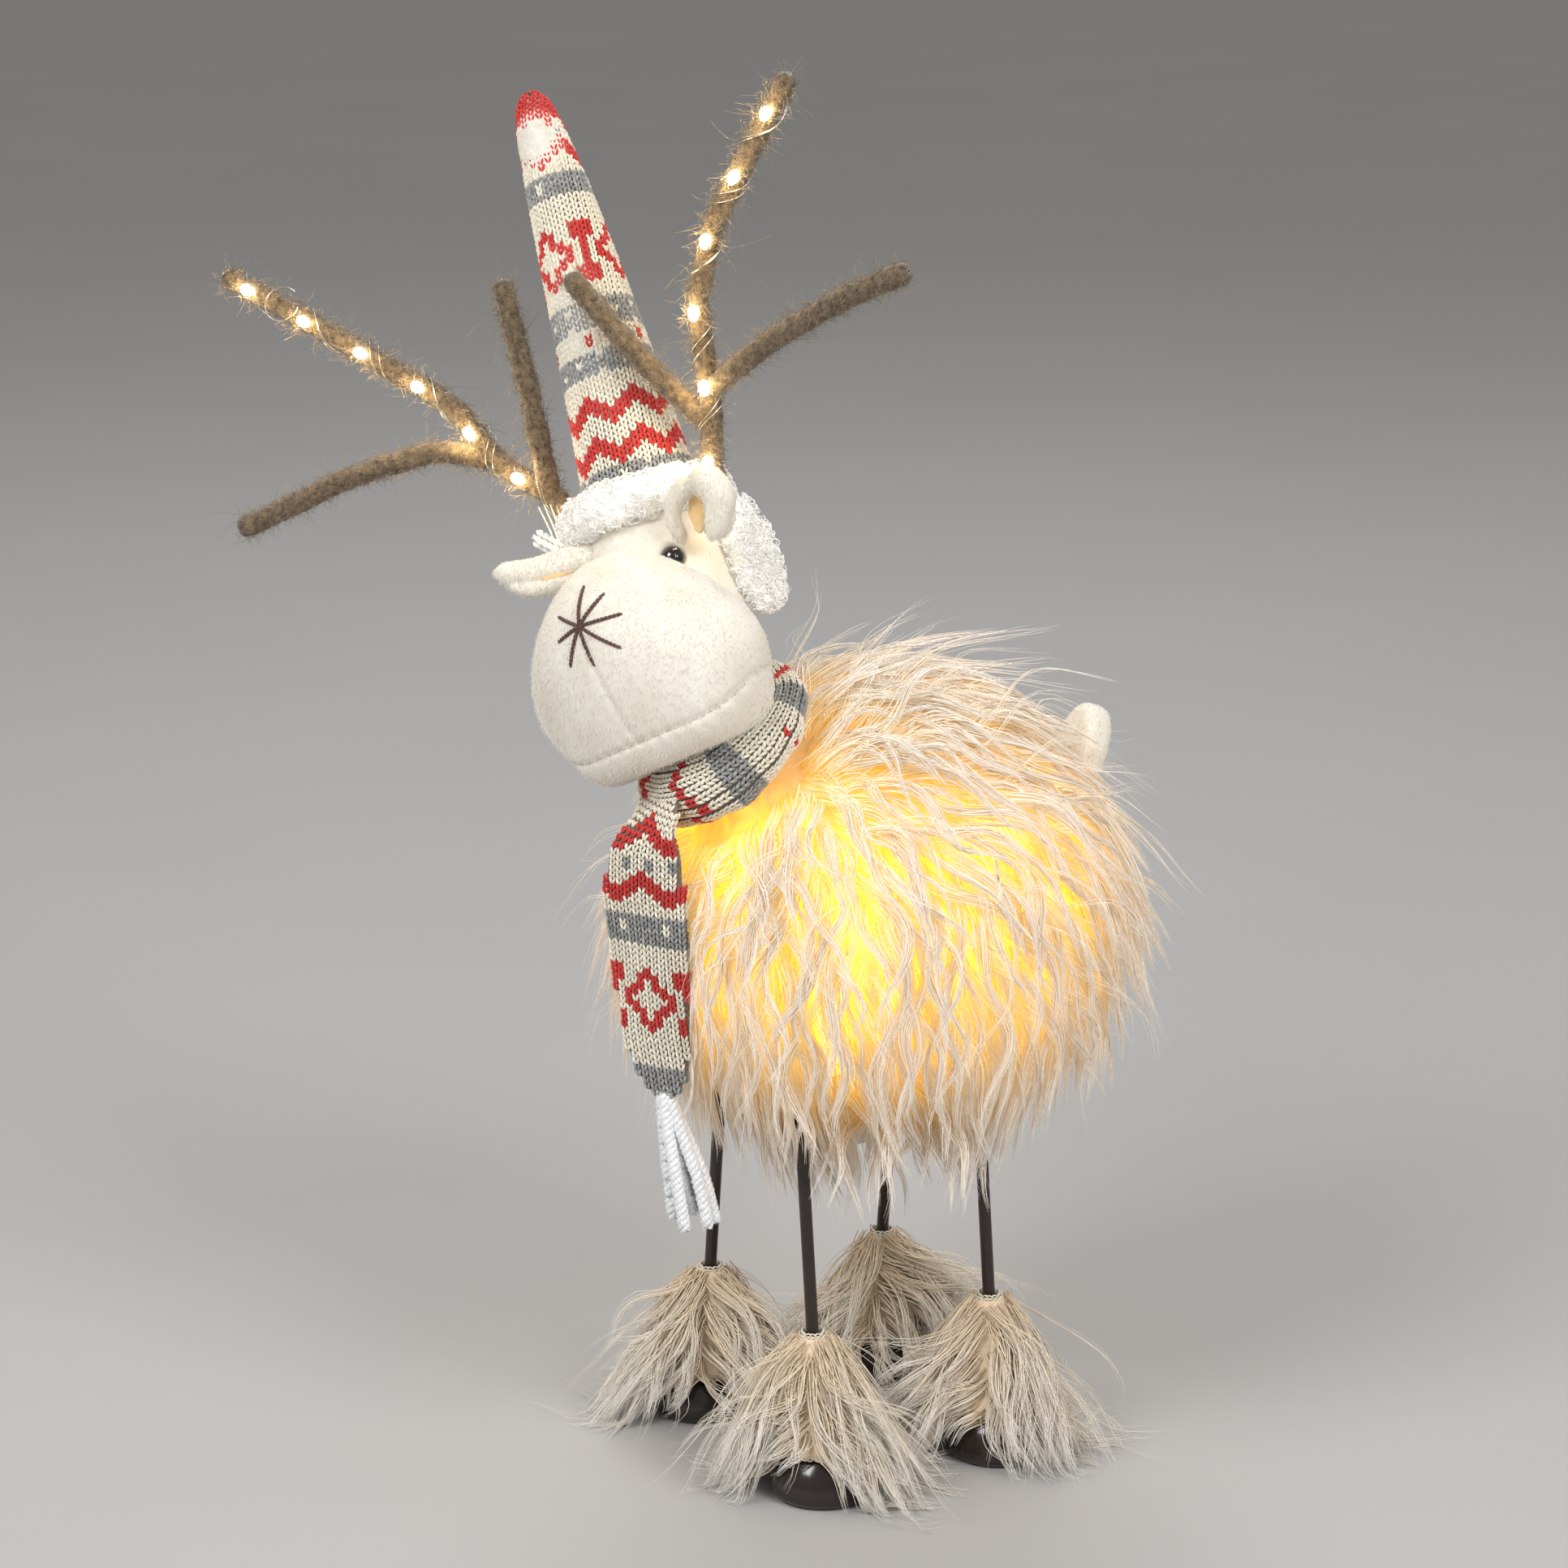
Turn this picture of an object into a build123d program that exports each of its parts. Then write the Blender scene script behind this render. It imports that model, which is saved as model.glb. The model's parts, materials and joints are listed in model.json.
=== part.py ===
"""Light up yard reindeer: a fur ball on four rod legs, with a plush head that turns on its neck.

Units are millimetres. +Z is up, the nose points to -Y and the animal's left is +X. The origin is on the
floor, in the middle of the four hooves. Head pieces are drawn in the head's own frame, with the neck
joint at its origin, and are then moved to the neck, turned to the animal's left.
"""

from build123d import *
import os
from math import asin, cos, degrees, pi, radians, sin, sqrt

# ---------------------------------------------------------------- driving dimensions
STANCE_WIDTH = 122.8          # between left and right hoof centres
STANCE_LENGTH = 102.8         # between front and rear hoof centres
LEG_SPLAY = 6.5               # degrees, feet outwards
LEG_RADIUS = 3.1
HOOF_RADIUS = 26.0
HOOF_HEIGHT = 30.0
PAD_THICKNESS = 1.0
CUFF_TOP = 80.0               # along the leg
CUFF_BOTTOM = 20.0

BALL_CENTRE = Vector(0, 12, 280)
FUR_RADIUS = 118.0            # backing and dense pile; single hairs reach further
FUR_INNER = 104.0
LINING_RADIUS = 103.0
LINING_THICKNESS = 2.0
HOOP_RADIUS = 99.0
HOOP_WIRE = 1.5
PLATE_RADIUS = 81.0
PLATE_BOTTOM = 222.0
PLATE_THICKNESS = 4.0

NECK_LEAN = 45.0              # degrees from vertical, towards the nose
NECK_DISTANCE = 126.0         # from the ball's centre to the neck joint
HEAD_TURN = 39.0              # degrees to the animal's left about the neck, as displayed
HEAD_NOD = 7.0                # degrees nose down, fixed in the sewing
POST_RADIUS = 5.0
POST_BORE = 3.0
RUNNING_GAP = 0.05            # radial, between post and socket
FREE_GAP = 0.3                # between pieces that move past each other

SKULL_LEAN = 12.0             # degrees, crown and hat lean back from the head's own vertical
ANTLER_RADIUS = 5.5
ANTLER_CORE = 1.5
WIRE_RADIUS = 0.5
BULB_RADIUS = 2.6

CELL_RADIUS = 7.25
CELL_LENGTH = 50.5

SIDES = {"left": 1, "right": -1}
ENDS = {"front": -1, "rear": 1}

os.makedirs("parts", exist_ok=True)


# ---------------------------------------------------------------- frames and helpers
def direction_from_vertical(angle):
    """A unit vector in the middle plane, leaning from +Z towards the nose."""
    return Vector(0, -sin(radians(angle)), cos(radians(angle)))


neck_direction = direction_from_vertical(NECK_LEAN)
neck_point = BALL_CENTRE + neck_direction * NECK_DISTANCE
turn_axis = Axis((0, 0, 0), neck_direction)
head_side = Vector(1, 0, 0).rotate(turn_axis, HEAD_TURN)
head_up = direction_from_vertical(HEAD_NOD).rotate(turn_axis, HEAD_TURN)
head_place = Plane(neck_point, x_dir=head_side, z_dir=head_up).location

# the neck axis as the head sees it
head_neck = direction_from_vertical(NECK_LEAN - HEAD_NOD)
# the crown axis, which skull, brim and hat share
crown = direction_from_vertical(-SKULL_LEAN)


def write(piece, name):
    """Label one finished piece and write its STEP file."""
    piece.part.label = name
    export_step(piece.part, f"parts/{name}.step")


def section_plane(origin, axis_direction, radial=(1, 0, 0)):
    """A plane for a turned profile: local x is the radius, local y runs along the axis."""
    radial = Vector(radial)
    return Plane(origin, x_dir=radial, z_dir=radial.cross(Vector(axis_direction)))


def along_neck(distance):
    """A point on the neck axis, by its distance from the ball's centre."""
    return BALL_CENTRE + neck_direction * distance


def turned_piece(origin, axis_direction, outline, radial=(1, 0, 0)):
    """A body of revolution from straight edges given as (radius, height) points."""
    with BuildPart() as piece:
        with BuildSketch(section_plane(origin, axis_direction, radial)):
            with BuildLine():
                Polyline(*outline, close=True)
            make_face()
        revolve(axis=Axis(origin, axis_direction))
    return piece


def ring_piece(origin, axis_direction, inner, outer, low, high):
    """A plain washer, tube or disc between two heights along its axis."""
    outline = [(inner, low), (outer, low), (outer, high), (inner, high)]
    return turned_piece(origin, axis_direction, outline)


def swept_rod(points, bends, radius):
    """A round rod or wire along straight runs joined by arcs."""
    with BuildPart() as piece:
        with BuildLine() as route:
            FilletPolyline(*points, radius=bends)
        with BuildSketch(Plane(route.line @ 0, z_dir=route.line % 0)):
            Circle(radius)
        sweep()
    return piece


# ---------------------------------------------------------------- legs and feet
def foot_point(side, end):
    return Vector(side * STANCE_WIDTH / 2, end * STANCE_LENGTH / 2, 0)


def leg_plane(side, end):
    """The plane across a leg at the floor, its normal up the leg."""
    up_leg = Vector(-side * sin(radians(LEG_SPLAY)), 0, cos(radians(LEG_SPLAY)))
    return Plane(foot_point(side, end), x_dir=(0, side, 0), z_dir=up_leg)


LEG_BOTTOM = 12.0
LEG_TOP = 246.0
WEIGHT_RADIUS = 20.0
WEIGHT_HEIGHT = 9.0
SHOULDER = PAD_THICKNESS + 4.0


def make_hoof(side, end):
    foot = foot_point(side, end)
    plane = leg_plane(side, end)
    with BuildPart() as hoof:
        with BuildSketch(section_plane(foot, (0, 0, 1), radial=(side, 0, 0))):
            with BuildLine():
                base = Line((0, PAD_THICKNESS), (HOOF_RADIUS - 3, PAD_THICKNESS))
                rim = ThreePointArc(base @ 1, (HOOF_RADIUS - 0.7, SHOULDER - 2.6), (HOOF_RADIUS, SHOULDER))
                dome = ThreePointArc(rim @ 1, (HOOF_RADIUS * 0.72, HOOF_HEIGHT - 7.2), (0, HOOF_HEIGHT))
                Line(dome @ 1, base @ 0)
            make_face()
        revolve(axis=Axis(foot, (0, 0, 1)))
        with BuildSketch(Plane(foot).offset(PAD_THICKNESS)):
            Circle(WEIGHT_RADIUS)
        extrude(amount=WEIGHT_HEIGHT, mode=Mode.SUBTRACT)
        with BuildSketch(plane.offset(LEG_BOTTOM)):
            Circle(LEG_RADIUS)
        extrude(amount=HOOF_HEIGHT, mode=Mode.SUBTRACT)
    return hoof


def make_leg(side, end):
    with BuildPart() as leg:
        with BuildSketch(leg_plane(side, end).offset(LEG_BOTTOM)):
            Circle(LEG_RADIUS)
        extrude(amount=LEG_TOP - LEG_BOTTOM)
    return leg


def make_cuff(side, end):
    """A cone of fur fabric, tied to the rod at its top and open over the hoof."""
    plane = leg_plane(side, end)
    bore = LEG_RADIUS + 0.1
    outline = [(bore, CUFF_TOP), (8, CUFF_TOP), (35, CUFF_BOTTOM + 3), (31, CUFF_BOTTOM), (5, 73), (bore, 73)]
    return turned_piece(plane.origin, plane.z_dir, outline, radial=plane.x_dir)


TRIM_WIRE = 2.0

for end_name, end in ENDS.items():
    for side_name, side in SIDES.items():
        place = f"{end_name}_{side_name}"
        write(make_hoof(side, end), f"hoof_{place}")
        write(make_leg(side, end), f"leg_{place}")
        write(make_cuff(side, end), f"cuff_{place}")

with BuildPart() as cuff_trims:
    for end in ENDS.values():
        for side in SIDES.values():
            with Locations(leg_plane(side, end).offset(CUFF_TOP + TRIM_WIRE).location):
                Torus(LEG_RADIUS + TRIM_WIRE + 0.1, TRIM_WIRE)
write(cuff_trims, "cuff_trims")

feet = [foot_point(side, end) for end in ENDS.values() for side in SIDES.values()]
with BuildPart() as hoof_weights:
    with BuildSketch(Plane.XY.offset(PAD_THICKNESS)):
        with Locations(*feet):
            Circle(WEIGHT_RADIUS - 0.2)
    extrude(amount=WEIGHT_HEIGHT - 0.2)
write(hoof_weights, "hoof_weights")

with BuildPart() as hoof_pads:
    with BuildSketch():
        with Locations(*feet):
            Circle(HOOF_RADIUS - 3)
    extrude(amount=PAD_THICKNESS)
write(hoof_pads, "hoof_pads")


# ---------------------------------------------------------------- battery box, board, switch and cover
BOX_HALF_WIDTH = 33.0
BOX_REAR = 43.0
CELL_BAY_FRONT = -17.0
BOX_FRONT = -32.0
BOX_BOTTOM = 167.0
BOX_TOP = 192.0
BOX_WALL = 2.0
LIP_TOP = 168.8
COVER_TOP = 171.0
LIP_REACH = 3.0
GROOVE_DEPTH = 1.0
SWITCH_TRAVEL = 6.0
SWITCH_Y = (BOX_FRONT + CELL_BAY_FRONT) / 2
bay_middle = (CELL_BAY_FRONT + BOX_REAR) / 2
bay_length = BOX_REAR - CELL_BAY_FRONT
box_middle = (BOX_FRONT + BOX_REAR) / 2
box_length = BOX_REAR - BOX_FRONT


def block(x_size, y_low, y_high, z_low, z_high, x_middle=0.0, mode=Mode.ADD):
    """A box by its width and its limits in y and z, added to the part being built."""
    with BuildSketch(Plane.XY.offset(z_low)) as outline:
        with Locations((x_middle, (y_low + y_high) / 2)):
            Rectangle(x_size, y_high - y_low)
    extrude(outline.sketch, amount=z_high - z_low, mode=mode)


inner_width = 2 * (BOX_HALF_WIDTH - BOX_WALL)
with BuildPart() as battery_box:
    block(2 * BOX_HALF_WIDTH, BOX_FRONT, BOX_REAR, BOX_BOTTOM, BOX_TOP)
    # cell bay above the cover, and the switch bay in front of it
    block(inner_width, CELL_BAY_FRONT, BOX_REAR - BOX_WALL, COVER_TOP, BOX_TOP - BOX_WALL, mode=Mode.SUBTRACT)
    block(inner_width, BOX_FRONT + BOX_WALL, CELL_BAY_FRONT - BOX_WALL, LIP_TOP, BOX_TOP - BOX_WALL,
          mode=Mode.SUBTRACT)
    # the cover's groove, open to the rear, and the gap between the two lips below it
    block(inner_width + 2 * GROOVE_DEPTH, CELL_BAY_FRONT, BOX_REAR, LIP_TOP, COVER_TOP, mode=Mode.SUBTRACT)
    block(inner_width - 2 * LIP_REACH, CELL_BAY_FRONT, BOX_REAR, BOX_BOTTOM, LIP_TOP, mode=Mode.SUBTRACT)
    # slot for the switch knob
    block(5 + SWITCH_TRAVEL + 1, SWITCH_Y - 2.3, SWITCH_Y + 2.3, BOX_BOTTOM, LIP_TOP, mode=Mode.SUBTRACT)
write(battery_box, "battery_box")

cover_half = BOX_HALF_WIDTH - BOX_WALL + GROOVE_DEPTH - FREE_GAP
with BuildPart() as battery_cover:
    block(2 * cover_half, CELL_BAY_FRONT + FREE_GAP, BOX_REAR, LIP_TOP + FREE_GAP, COVER_TOP - FREE_GAP)
    # centre panel that fills the gap between the lips, with three thumb ribs
    panel_half = BOX_HALF_WIDTH - BOX_WALL - LIP_REACH - FREE_GAP
    block(2 * panel_half, CELL_BAY_FRONT + FREE_GAP, BOX_REAR, BOX_BOTTOM + 0.6, LIP_TOP + FREE_GAP)
    for rib in range(3):
        block(24, BOX_REAR - 8 - 4 * rib, BOX_REAR - 6.5 - 4 * rib, BOX_BOTTOM - 0.4, BOX_BOTTOM + 0.6)
write(battery_cover, "battery_cover")

with BuildPart() as switch_slider:
    knob_x = SWITCH_TRAVEL / 2
    block(5, SWITCH_Y - 2, SWITCH_Y + 2, BOX_BOTTOM - 2, LIP_TOP + FREE_GAP, knob_x)
    block(15, SWITCH_Y - 4, SWITCH_Y + 4, LIP_TOP + FREE_GAP, LIP_TOP + 2, knob_x)
write(switch_slider, "switch_slider")

CELL_PITCH = 15.2
cell_z = COVER_TOP + CELL_RADIUS + 0.6
cell_front = bay_middle - CELL_LENGTH / 2
with BuildPart() as battery_cells:
    cell_plane = Plane((0, cell_front, cell_z), x_dir=(1, 0, 0), z_dir=(0, 1, 0))
    cell_places = [(-CELL_PITCH, 0), (0, 0), (CELL_PITCH, 0)]
    with BuildSketch(cell_plane):
        with Locations(*cell_places):
            Circle(CELL_RADIUS)
    extrude(amount=CELL_LENGTH - 1.2)
    with BuildSketch(cell_plane.offset(CELL_LENGTH - 1.2)):
        with Locations(*cell_places):
            Circle(2.7)
    extrude(amount=1.2)
write(battery_cells, "battery_cells")

with BuildPart() as battery_contacts:
    for row in (-1, 0, 1):
        # flat contact behind the button end, and a conical spring on the other
        block(9, BOX_REAR - BOX_WALL - 0.5, BOX_REAR - BOX_WALL, cell_z - 5, cell_z + 5, row * CELL_PITCH)
        block(9, CELL_BAY_FRONT, CELL_BAY_FRONT + 0.5, cell_z - 5, cell_z + 5, row * CELL_PITCH)
        spring_start = (row * CELL_PITCH, CELL_BAY_FRONT + 0.5, cell_z)
        with BuildSketch(Plane(spring_start, x_dir=(1, 0, 0), z_dir=(0, 1, 0))):
            Circle(4.5)
            Circle(3.6, mode=Mode.SUBTRACT)
        extrude(amount=cell_front - CELL_BAY_FRONT - 0.5)
write(battery_contacts, "battery_contacts")

with BuildPart() as control_board:
    block(52, BOX_FRONT + BOX_WALL + 0.5, CELL_BAY_FRONT - BOX_WALL - 0.5, 176, 177.6)
    # the switch body, above the slider, and a timer chip
    block(19, SWITCH_Y - 4, SWITCH_Y + 4, LIP_TOP + 2 + FREE_GAP, 176)
    block(6, SWITCH_Y - 3, SWITCH_Y + 3, 177.6, 179.4, 18)
write(control_board, "control_board")


# ---------------------------------------------------------------- belly plate, hoops, lining, fur
plate_top = PLATE_BOTTOM + PLATE_THICKNESS
with BuildPart() as belly_plate:
    with BuildSketch(Plane.XY.offset(PLATE_BOTTOM)):
        with Locations((0, BALL_CENTRE.Y)):
            Circle(PLATE_RADIUS)
    extrude(amount=PLATE_THICKNESS)
    fillet(belly_plate.edges().group_by(Axis.Z)[0], radius=1.5)
    for end in ENDS.values():
        for side in SIDES.values():
            with BuildSketch(leg_plane(side, end).offset(plate_top)):
                Circle(LEG_RADIUS + 3.5)
            extrude(amount=LEG_TOP - plate_top)
    # two hangers that carry the battery box
    for side in SIDES.values():
        block(6, -10, 34, BOX_TOP, PLATE_BOTTOM, side * (BOX_HALF_WIDTH - 5))
    for end in ENDS.values():
        for side in SIDES.values():
            with BuildSketch(leg_plane(side, end).offset(PLATE_BOTTOM - 10)):
                Circle(LEG_RADIUS)
            extrude(amount=LEG_TOP - PLATE_BOTTOM + 20, mode=Mode.SUBTRACT)
    with BuildSketch(Plane.XY.offset(PLATE_BOTTOM)):
        Circle(4)
    extrude(amount=PLATE_THICKNESS, mode=Mode.SUBTRACT)
write(belly_plate, "belly_plate")

# eight ribs of wire stand on the plate and meet in a cap, with one ring round the middle
RIB_COUNT = 8
RIB_TOP = 86.5                # degrees above the horizontal, inside the cap
RING_WIRE = 2.2
CAP_RADIUS = 9.0
CAP_THICKNESS = 2.6
with BuildPart() as body_hoops:
    with Locations(BALL_CENTRE):
        Torus(HOOP_RADIUS - HOOP_WIRE, RING_WIRE)
    with BuildSketch(Plane(BALL_CENTRE).offset(HOOP_RADIUS - CAP_THICKNESS / 2)):
        Circle(CAP_RADIUS)
    extrude(amount=CAP_THICKNESS)
    rib_start = degrees(asin((plate_top - BALL_CENTRE.Z) / HOOP_RADIUS))
    for rib in range(RIB_COUNT):
        turn = radians(360 / RIB_COUNT * (rib + 0.5))
        rib_plane = Plane(BALL_CENTRE, x_dir=(cos(turn), sin(turn), 0), z_dir=(sin(turn), -cos(turn), 0))
        with BuildLine(rib_plane) as rib_line:
            CenterArc((0, 0), HOOP_RADIUS, rib_start, RIB_TOP - rib_start)
        with BuildSketch(Plane(rib_line.line @ 0, z_dir=rib_line.line % 0)) as rib_section:
            Circle(HOOP_WIRE)
        sweep(rib_section.sketch, path=rib_line.line)
write(body_hoops, "body_hoops")

HATCH_HALF_WIDTH = BOX_HALF_WIDTH + 1.5
HATCH_REAR = BOX_REAR + 18


def open_shell(outer, inner, neck_hole, leg_hole):
    """A hollow ball, open for the neck, the legs and the battery hatch."""
    with BuildPart() as shell:
        with Locations(BALL_CENTRE):
            Sphere(outer)
            Sphere(inner, mode=Mode.SUBTRACT)
        with BuildSketch(Plane(BALL_CENTRE, x_dir=(1, 0, 0), z_dir=neck_direction)):
            Circle(neck_hole)
        extrude(amount=outer + 1, mode=Mode.SUBTRACT)
        for end in ENDS.values():
            for side in SIDES.values():
                with BuildSketch(leg_plane(side, end).offset(100)):
                    Circle(leg_hole)
                extrude(amount=PLATE_BOTTOM - 100, mode=Mode.SUBTRACT)
        low = BALL_CENTRE.Z - outer - 1
        block(2 * HATCH_HALF_WIDTH, BOX_FRONT - 1.5, HATCH_REAR, low, PLATE_BOTTOM, mode=Mode.SUBTRACT)
    return shell


body_lining = open_shell(LINING_RADIUS, LINING_RADIUS - LINING_THICKNESS, 31.5, LEG_RADIUS + 1)
write(body_lining, "body_lining")

BOSS_RADIUS = 14.0
fur_body = open_shell(FUR_RADIUS, FUR_INNER, BOSS_RADIUS + 0.5, LEG_RADIUS + 1)
write(fur_body, "fur_body")

# the light string winds round the inside of the hoops and carries a bulb on every third run
STRING_RADIUS = 94.0
STRING_WIRE = 0.8
STRING_STEPS = 44
STRING_STEP = 24.0            # degrees
STRING_TOP = 56.0             # above the ball's centre
STRING_DROP = 2.3             # per step


def string_point(step):
    height = STRING_TOP - STRING_DROP * step
    ring = sqrt(STRING_RADIUS ** 2 - height ** 2)
    turn = radians(100 + STRING_STEP * step)
    return BALL_CENTRE + Vector(ring * cos(turn), ring * sin(turn), height)


string_points = [string_point(step) for step in range(STRING_STEPS)]
body_light_wire = swept_rod(string_points, 20, STRING_WIRE)
write(body_light_wire, "body_light_wire")

BODY_BULB = 3.0
with BuildPart() as body_bulbs:
    for start, finish in zip(string_points[1:-1:3], string_points[2::3]):
        middle = (start + finish) * 0.5
        inward = (BALL_CENTRE - middle).normalized()
        with Locations(middle + inward * (BODY_BULB + STRING_WIRE + 0.1)):
            Sphere(BODY_BULB)
write(body_bulbs, "body_bulbs")

TAIL_HALF_WIDTH = 15.0
TAIL_HALF_LENGTH = 28.0
TAIL_HALF_DEPTH = 7.0
TAIL_EDGE = 4.0
tail_up = Vector(0, 0.42, 0.91)
tail_middle = BALL_CENTRE + Vector(0, 111, 36) + tail_up * (TAIL_HALF_LENGTH - 4)
with BuildPart() as tail:
    with BuildSketch(Plane(tail_middle, x_dir=(1, 0, 0), z_dir=(0, -0.91, 0.42))):
        Ellipse(TAIL_HALF_WIDTH, TAIL_HALF_LENGTH)
    extrude(amount=TAIL_HALF_DEPTH, both=True)
    fillet(tail.edges(), radius=TAIL_EDGE)
    with Locations(BALL_CENTRE):
        Sphere(FUR_RADIUS, mode=Mode.SUBTRACT)
write(tail, "tail")


# ---------------------------------------------------------------- neck: boss, post, washer, nut, lead
FLANGE_LOW = 97.0
FLANGE_HIGH = 99.5
BOSS_TOP = NECK_DISTANCE + 9
WASHER_TOP = BOSS_TOP + 1.2
SOCKET_LOW = WASHER_TOP + FREE_GAP
SOCKET_FLANGE_TOP = SOCKET_LOW + 3
SOCKET_TOP = NECK_DISTANCE + 34
NUT_LOW = SOCKET_TOP + FREE_GAP
POST_TOP = NECK_DISTANCE + 40
SOCKET_FLANGE_RADIUS = 22.0
SLEEVE_RADIUS = 9.0

boss_outline = [(POST_RADIUS, FLANGE_LOW), (30, FLANGE_LOW), (30, FLANGE_HIGH), (BOSS_RADIUS, FLANGE_HIGH),
                (BOSS_RADIUS, BOSS_TOP), (POST_RADIUS, BOSS_TOP)]
neck_boss = turned_piece(BALL_CENTRE, neck_direction, boss_outline)
write(neck_boss, "neck_boss")

neck_post = ring_piece(BALL_CENTRE, neck_direction, POST_BORE, POST_RADIUS, FLANGE_LOW - 12, POST_TOP)
write(neck_post, "neck_post")

neck_washer = ring_piece(BALL_CENTRE, neck_direction, POST_RADIUS, BOSS_RADIUS, BOSS_TOP, WASHER_TOP)
write(neck_washer, "neck_washer")

push_nut = ring_piece(BALL_CENTRE, neck_direction, POST_RADIUS, SLEEVE_RADIUS, NUT_LOW, NUT_LOW + 1.5)
write(push_nut, "push_nut")

LEAD_RADIUS = 1.2
lead_points = [(0, 0, BOX_TOP), (0, 0, 252), along_neck(46), along_neck(POST_TOP)]
neck_lead = swept_rod(lead_points, [40, 30], LEAD_RADIUS)
write(neck_lead, "neck_lead")

# ---------------------------------------------------------------- scarf
COLLAR_RADIUS = 39.0
COLLAR_HALF_WIDTH = 15.0
COLLAR_HALF_HEIGHT = 10.0
with BuildPart() as scarf_collar:
    with BuildSketch(section_plane(BALL_CENTRE, neck_direction)):
        with Locations((COLLAR_RADIUS, NECK_DISTANCE - 1.5)):
            Ellipse(COLLAR_HALF_WIDTH, COLLAR_HALF_HEIGHT)
    revolve(axis=Axis(BALL_CENTRE, neck_direction))
write(scarf_collar, "scarf_collar")

SCARF_WIDTH = 44.0
SCARF_THICKNESS = 5.0
SCARF_TOP = 335.0
SCARF_BOTTOM = 196.0
scarf_middle = Vector(12, -121.5, 0)
scarf_across = Vector(cos(radians(30)), sin(radians(30)), 0)
scarf_front = scarf_across.cross(Vector(0, 0, 1))
with BuildPart() as scarf_tail:
    with BuildSketch(Plane(scarf_middle, x_dir=scarf_across, z_dir=scarf_front)):
        with BuildLine():
            half = SCARF_WIDTH / 2
            top = Line((-half, SCARF_TOP), (half, SCARF_TOP))
            right = Line(top @ 1, (half, SCARF_BOTTOM + 26))
            tip = Spline(right @ 1, (0, SCARF_BOTTOM), (-half, SCARF_BOTTOM + 26),
                         tangents=[(0, -1), (0, 1)])
            Line(tip @ 1, top @ 0)
        make_face()
    extrude(amount=SCARF_THICKNESS / 2, both=True)
write(scarf_tail, "scarf_tail")

TASSEL_LENGTH = 66.0
with BuildPart() as scarf_tassel:
    knot = scarf_middle + Vector(0, 0, SCARF_BOTTOM - 1.5)
    hang = Vector(0.12, 0.2, -1).normalized()
    with BuildSketch(Plane(knot, x_dir=(1, 0, 0), z_dir=hang)):
        Circle(4)
    with BuildSketch(Plane(knot + hang * TASSEL_LENGTH, x_dir=(1, 0, 0), z_dir=hang)):
        Circle(10)
    loft()
write(scarf_tassel, "scarf_tassel")


# ---------------------------------------------------------------- head, in its own frame
head_origin = Vector(0, 0, 0)


def from_joint(distance):
    """Distance along the neck from the joint, from a distance measured from the ball's centre."""
    return distance - NECK_DISTANCE


COLLAR_POCKET = COLLAR_RADIUS + COLLAR_HALF_WIDTH + 1.5
pocket_ceiling = from_joint(BOSS_TOP) + 0.8
POCKET_FLOOR = -NECK_DISTANCE
# everything the head must leave free: the fur ball, the collar, and the socket with its nut
clearance_outline = [
    (0, POCKET_FLOOR),
    (COLLAR_POCKET, POCKET_FLOOR),
    (COLLAR_POCKET, pocket_ceiling),
    (SOCKET_FLANGE_RADIUS, pocket_ceiling),
    (SOCKET_FLANGE_RADIUS, from_joint(SOCKET_FLANGE_TOP)),
    (SLEEVE_RADIUS, from_joint(SOCKET_FLANGE_TOP)),
    (SLEEVE_RADIUS, from_joint(SOCKET_TOP)),
    (SLEEVE_RADIUS + 2, from_joint(SOCKET_TOP)),
    (SLEEVE_RADIUS + 2, from_joint(POST_TOP) + 3),
    (0, from_joint(POST_TOP) + 3),
]
neck_clearance = turned_piece(head_origin, head_neck, clearance_outline)
with BuildPart() as ball_clearance:
    with Locations(head_neck * -NECK_DISTANCE):
        Sphere(FUR_RADIUS + 1)

socket_outline = [
    (POST_RADIUS + RUNNING_GAP, from_joint(SOCKET_LOW)),
    (SOCKET_FLANGE_RADIUS, from_joint(SOCKET_LOW)),
    (SOCKET_FLANGE_RADIUS, from_joint(SOCKET_FLANGE_TOP)),
    (SLEEVE_RADIUS, from_joint(SOCKET_FLANGE_TOP)),
    (SLEEVE_RADIUS, from_joint(SOCKET_TOP)),
    (POST_RADIUS + RUNNING_GAP, from_joint(SOCKET_TOP)),
]
neck_socket = turned_piece(head_origin, head_neck, socket_outline)

# bendable antlers: wire cores wrapped in wool, each stem with an outer and an inner tine
antler_paths = {
    "left_stem": [(39, 26, 113), (60, 25, 157), (74, 23, 200), (101, 21, 231), (174, 16, 277)],
    "left_outer_tine": [(62, 24, 161), (112, 14, 169), (165, 3, 171), (207, -9, 168)],
    "left_inner_tine": [(54, 25, 145), (37, 20, 182), (16, 17, 240)],
    "right_stem": [(-38, 26, 112), (-44, 26, 142), (-70, 25, 172), (-80, 23, 207), (-108, 20, 242),
                   (-175, 14, 318)],
    "right_outer_tine": [(-72, 24, 176), (-97, 18, 191), (-147, 7, 197), (-211, -9, 195)],
    "right_inner_tine": [(-48, 25, 148), (-34, 22, 200), (-22, 18, 253)],
}
ANTLER_BEND = 9.0
CORE_ROOT = 26.0              # how far each stem's wire goes on into the head

antler_wraps = {}
for name, points in antler_paths.items():
    antler_wraps[name] = swept_rod(points, ANTLER_BEND, ANTLER_RADIUS)

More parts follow.
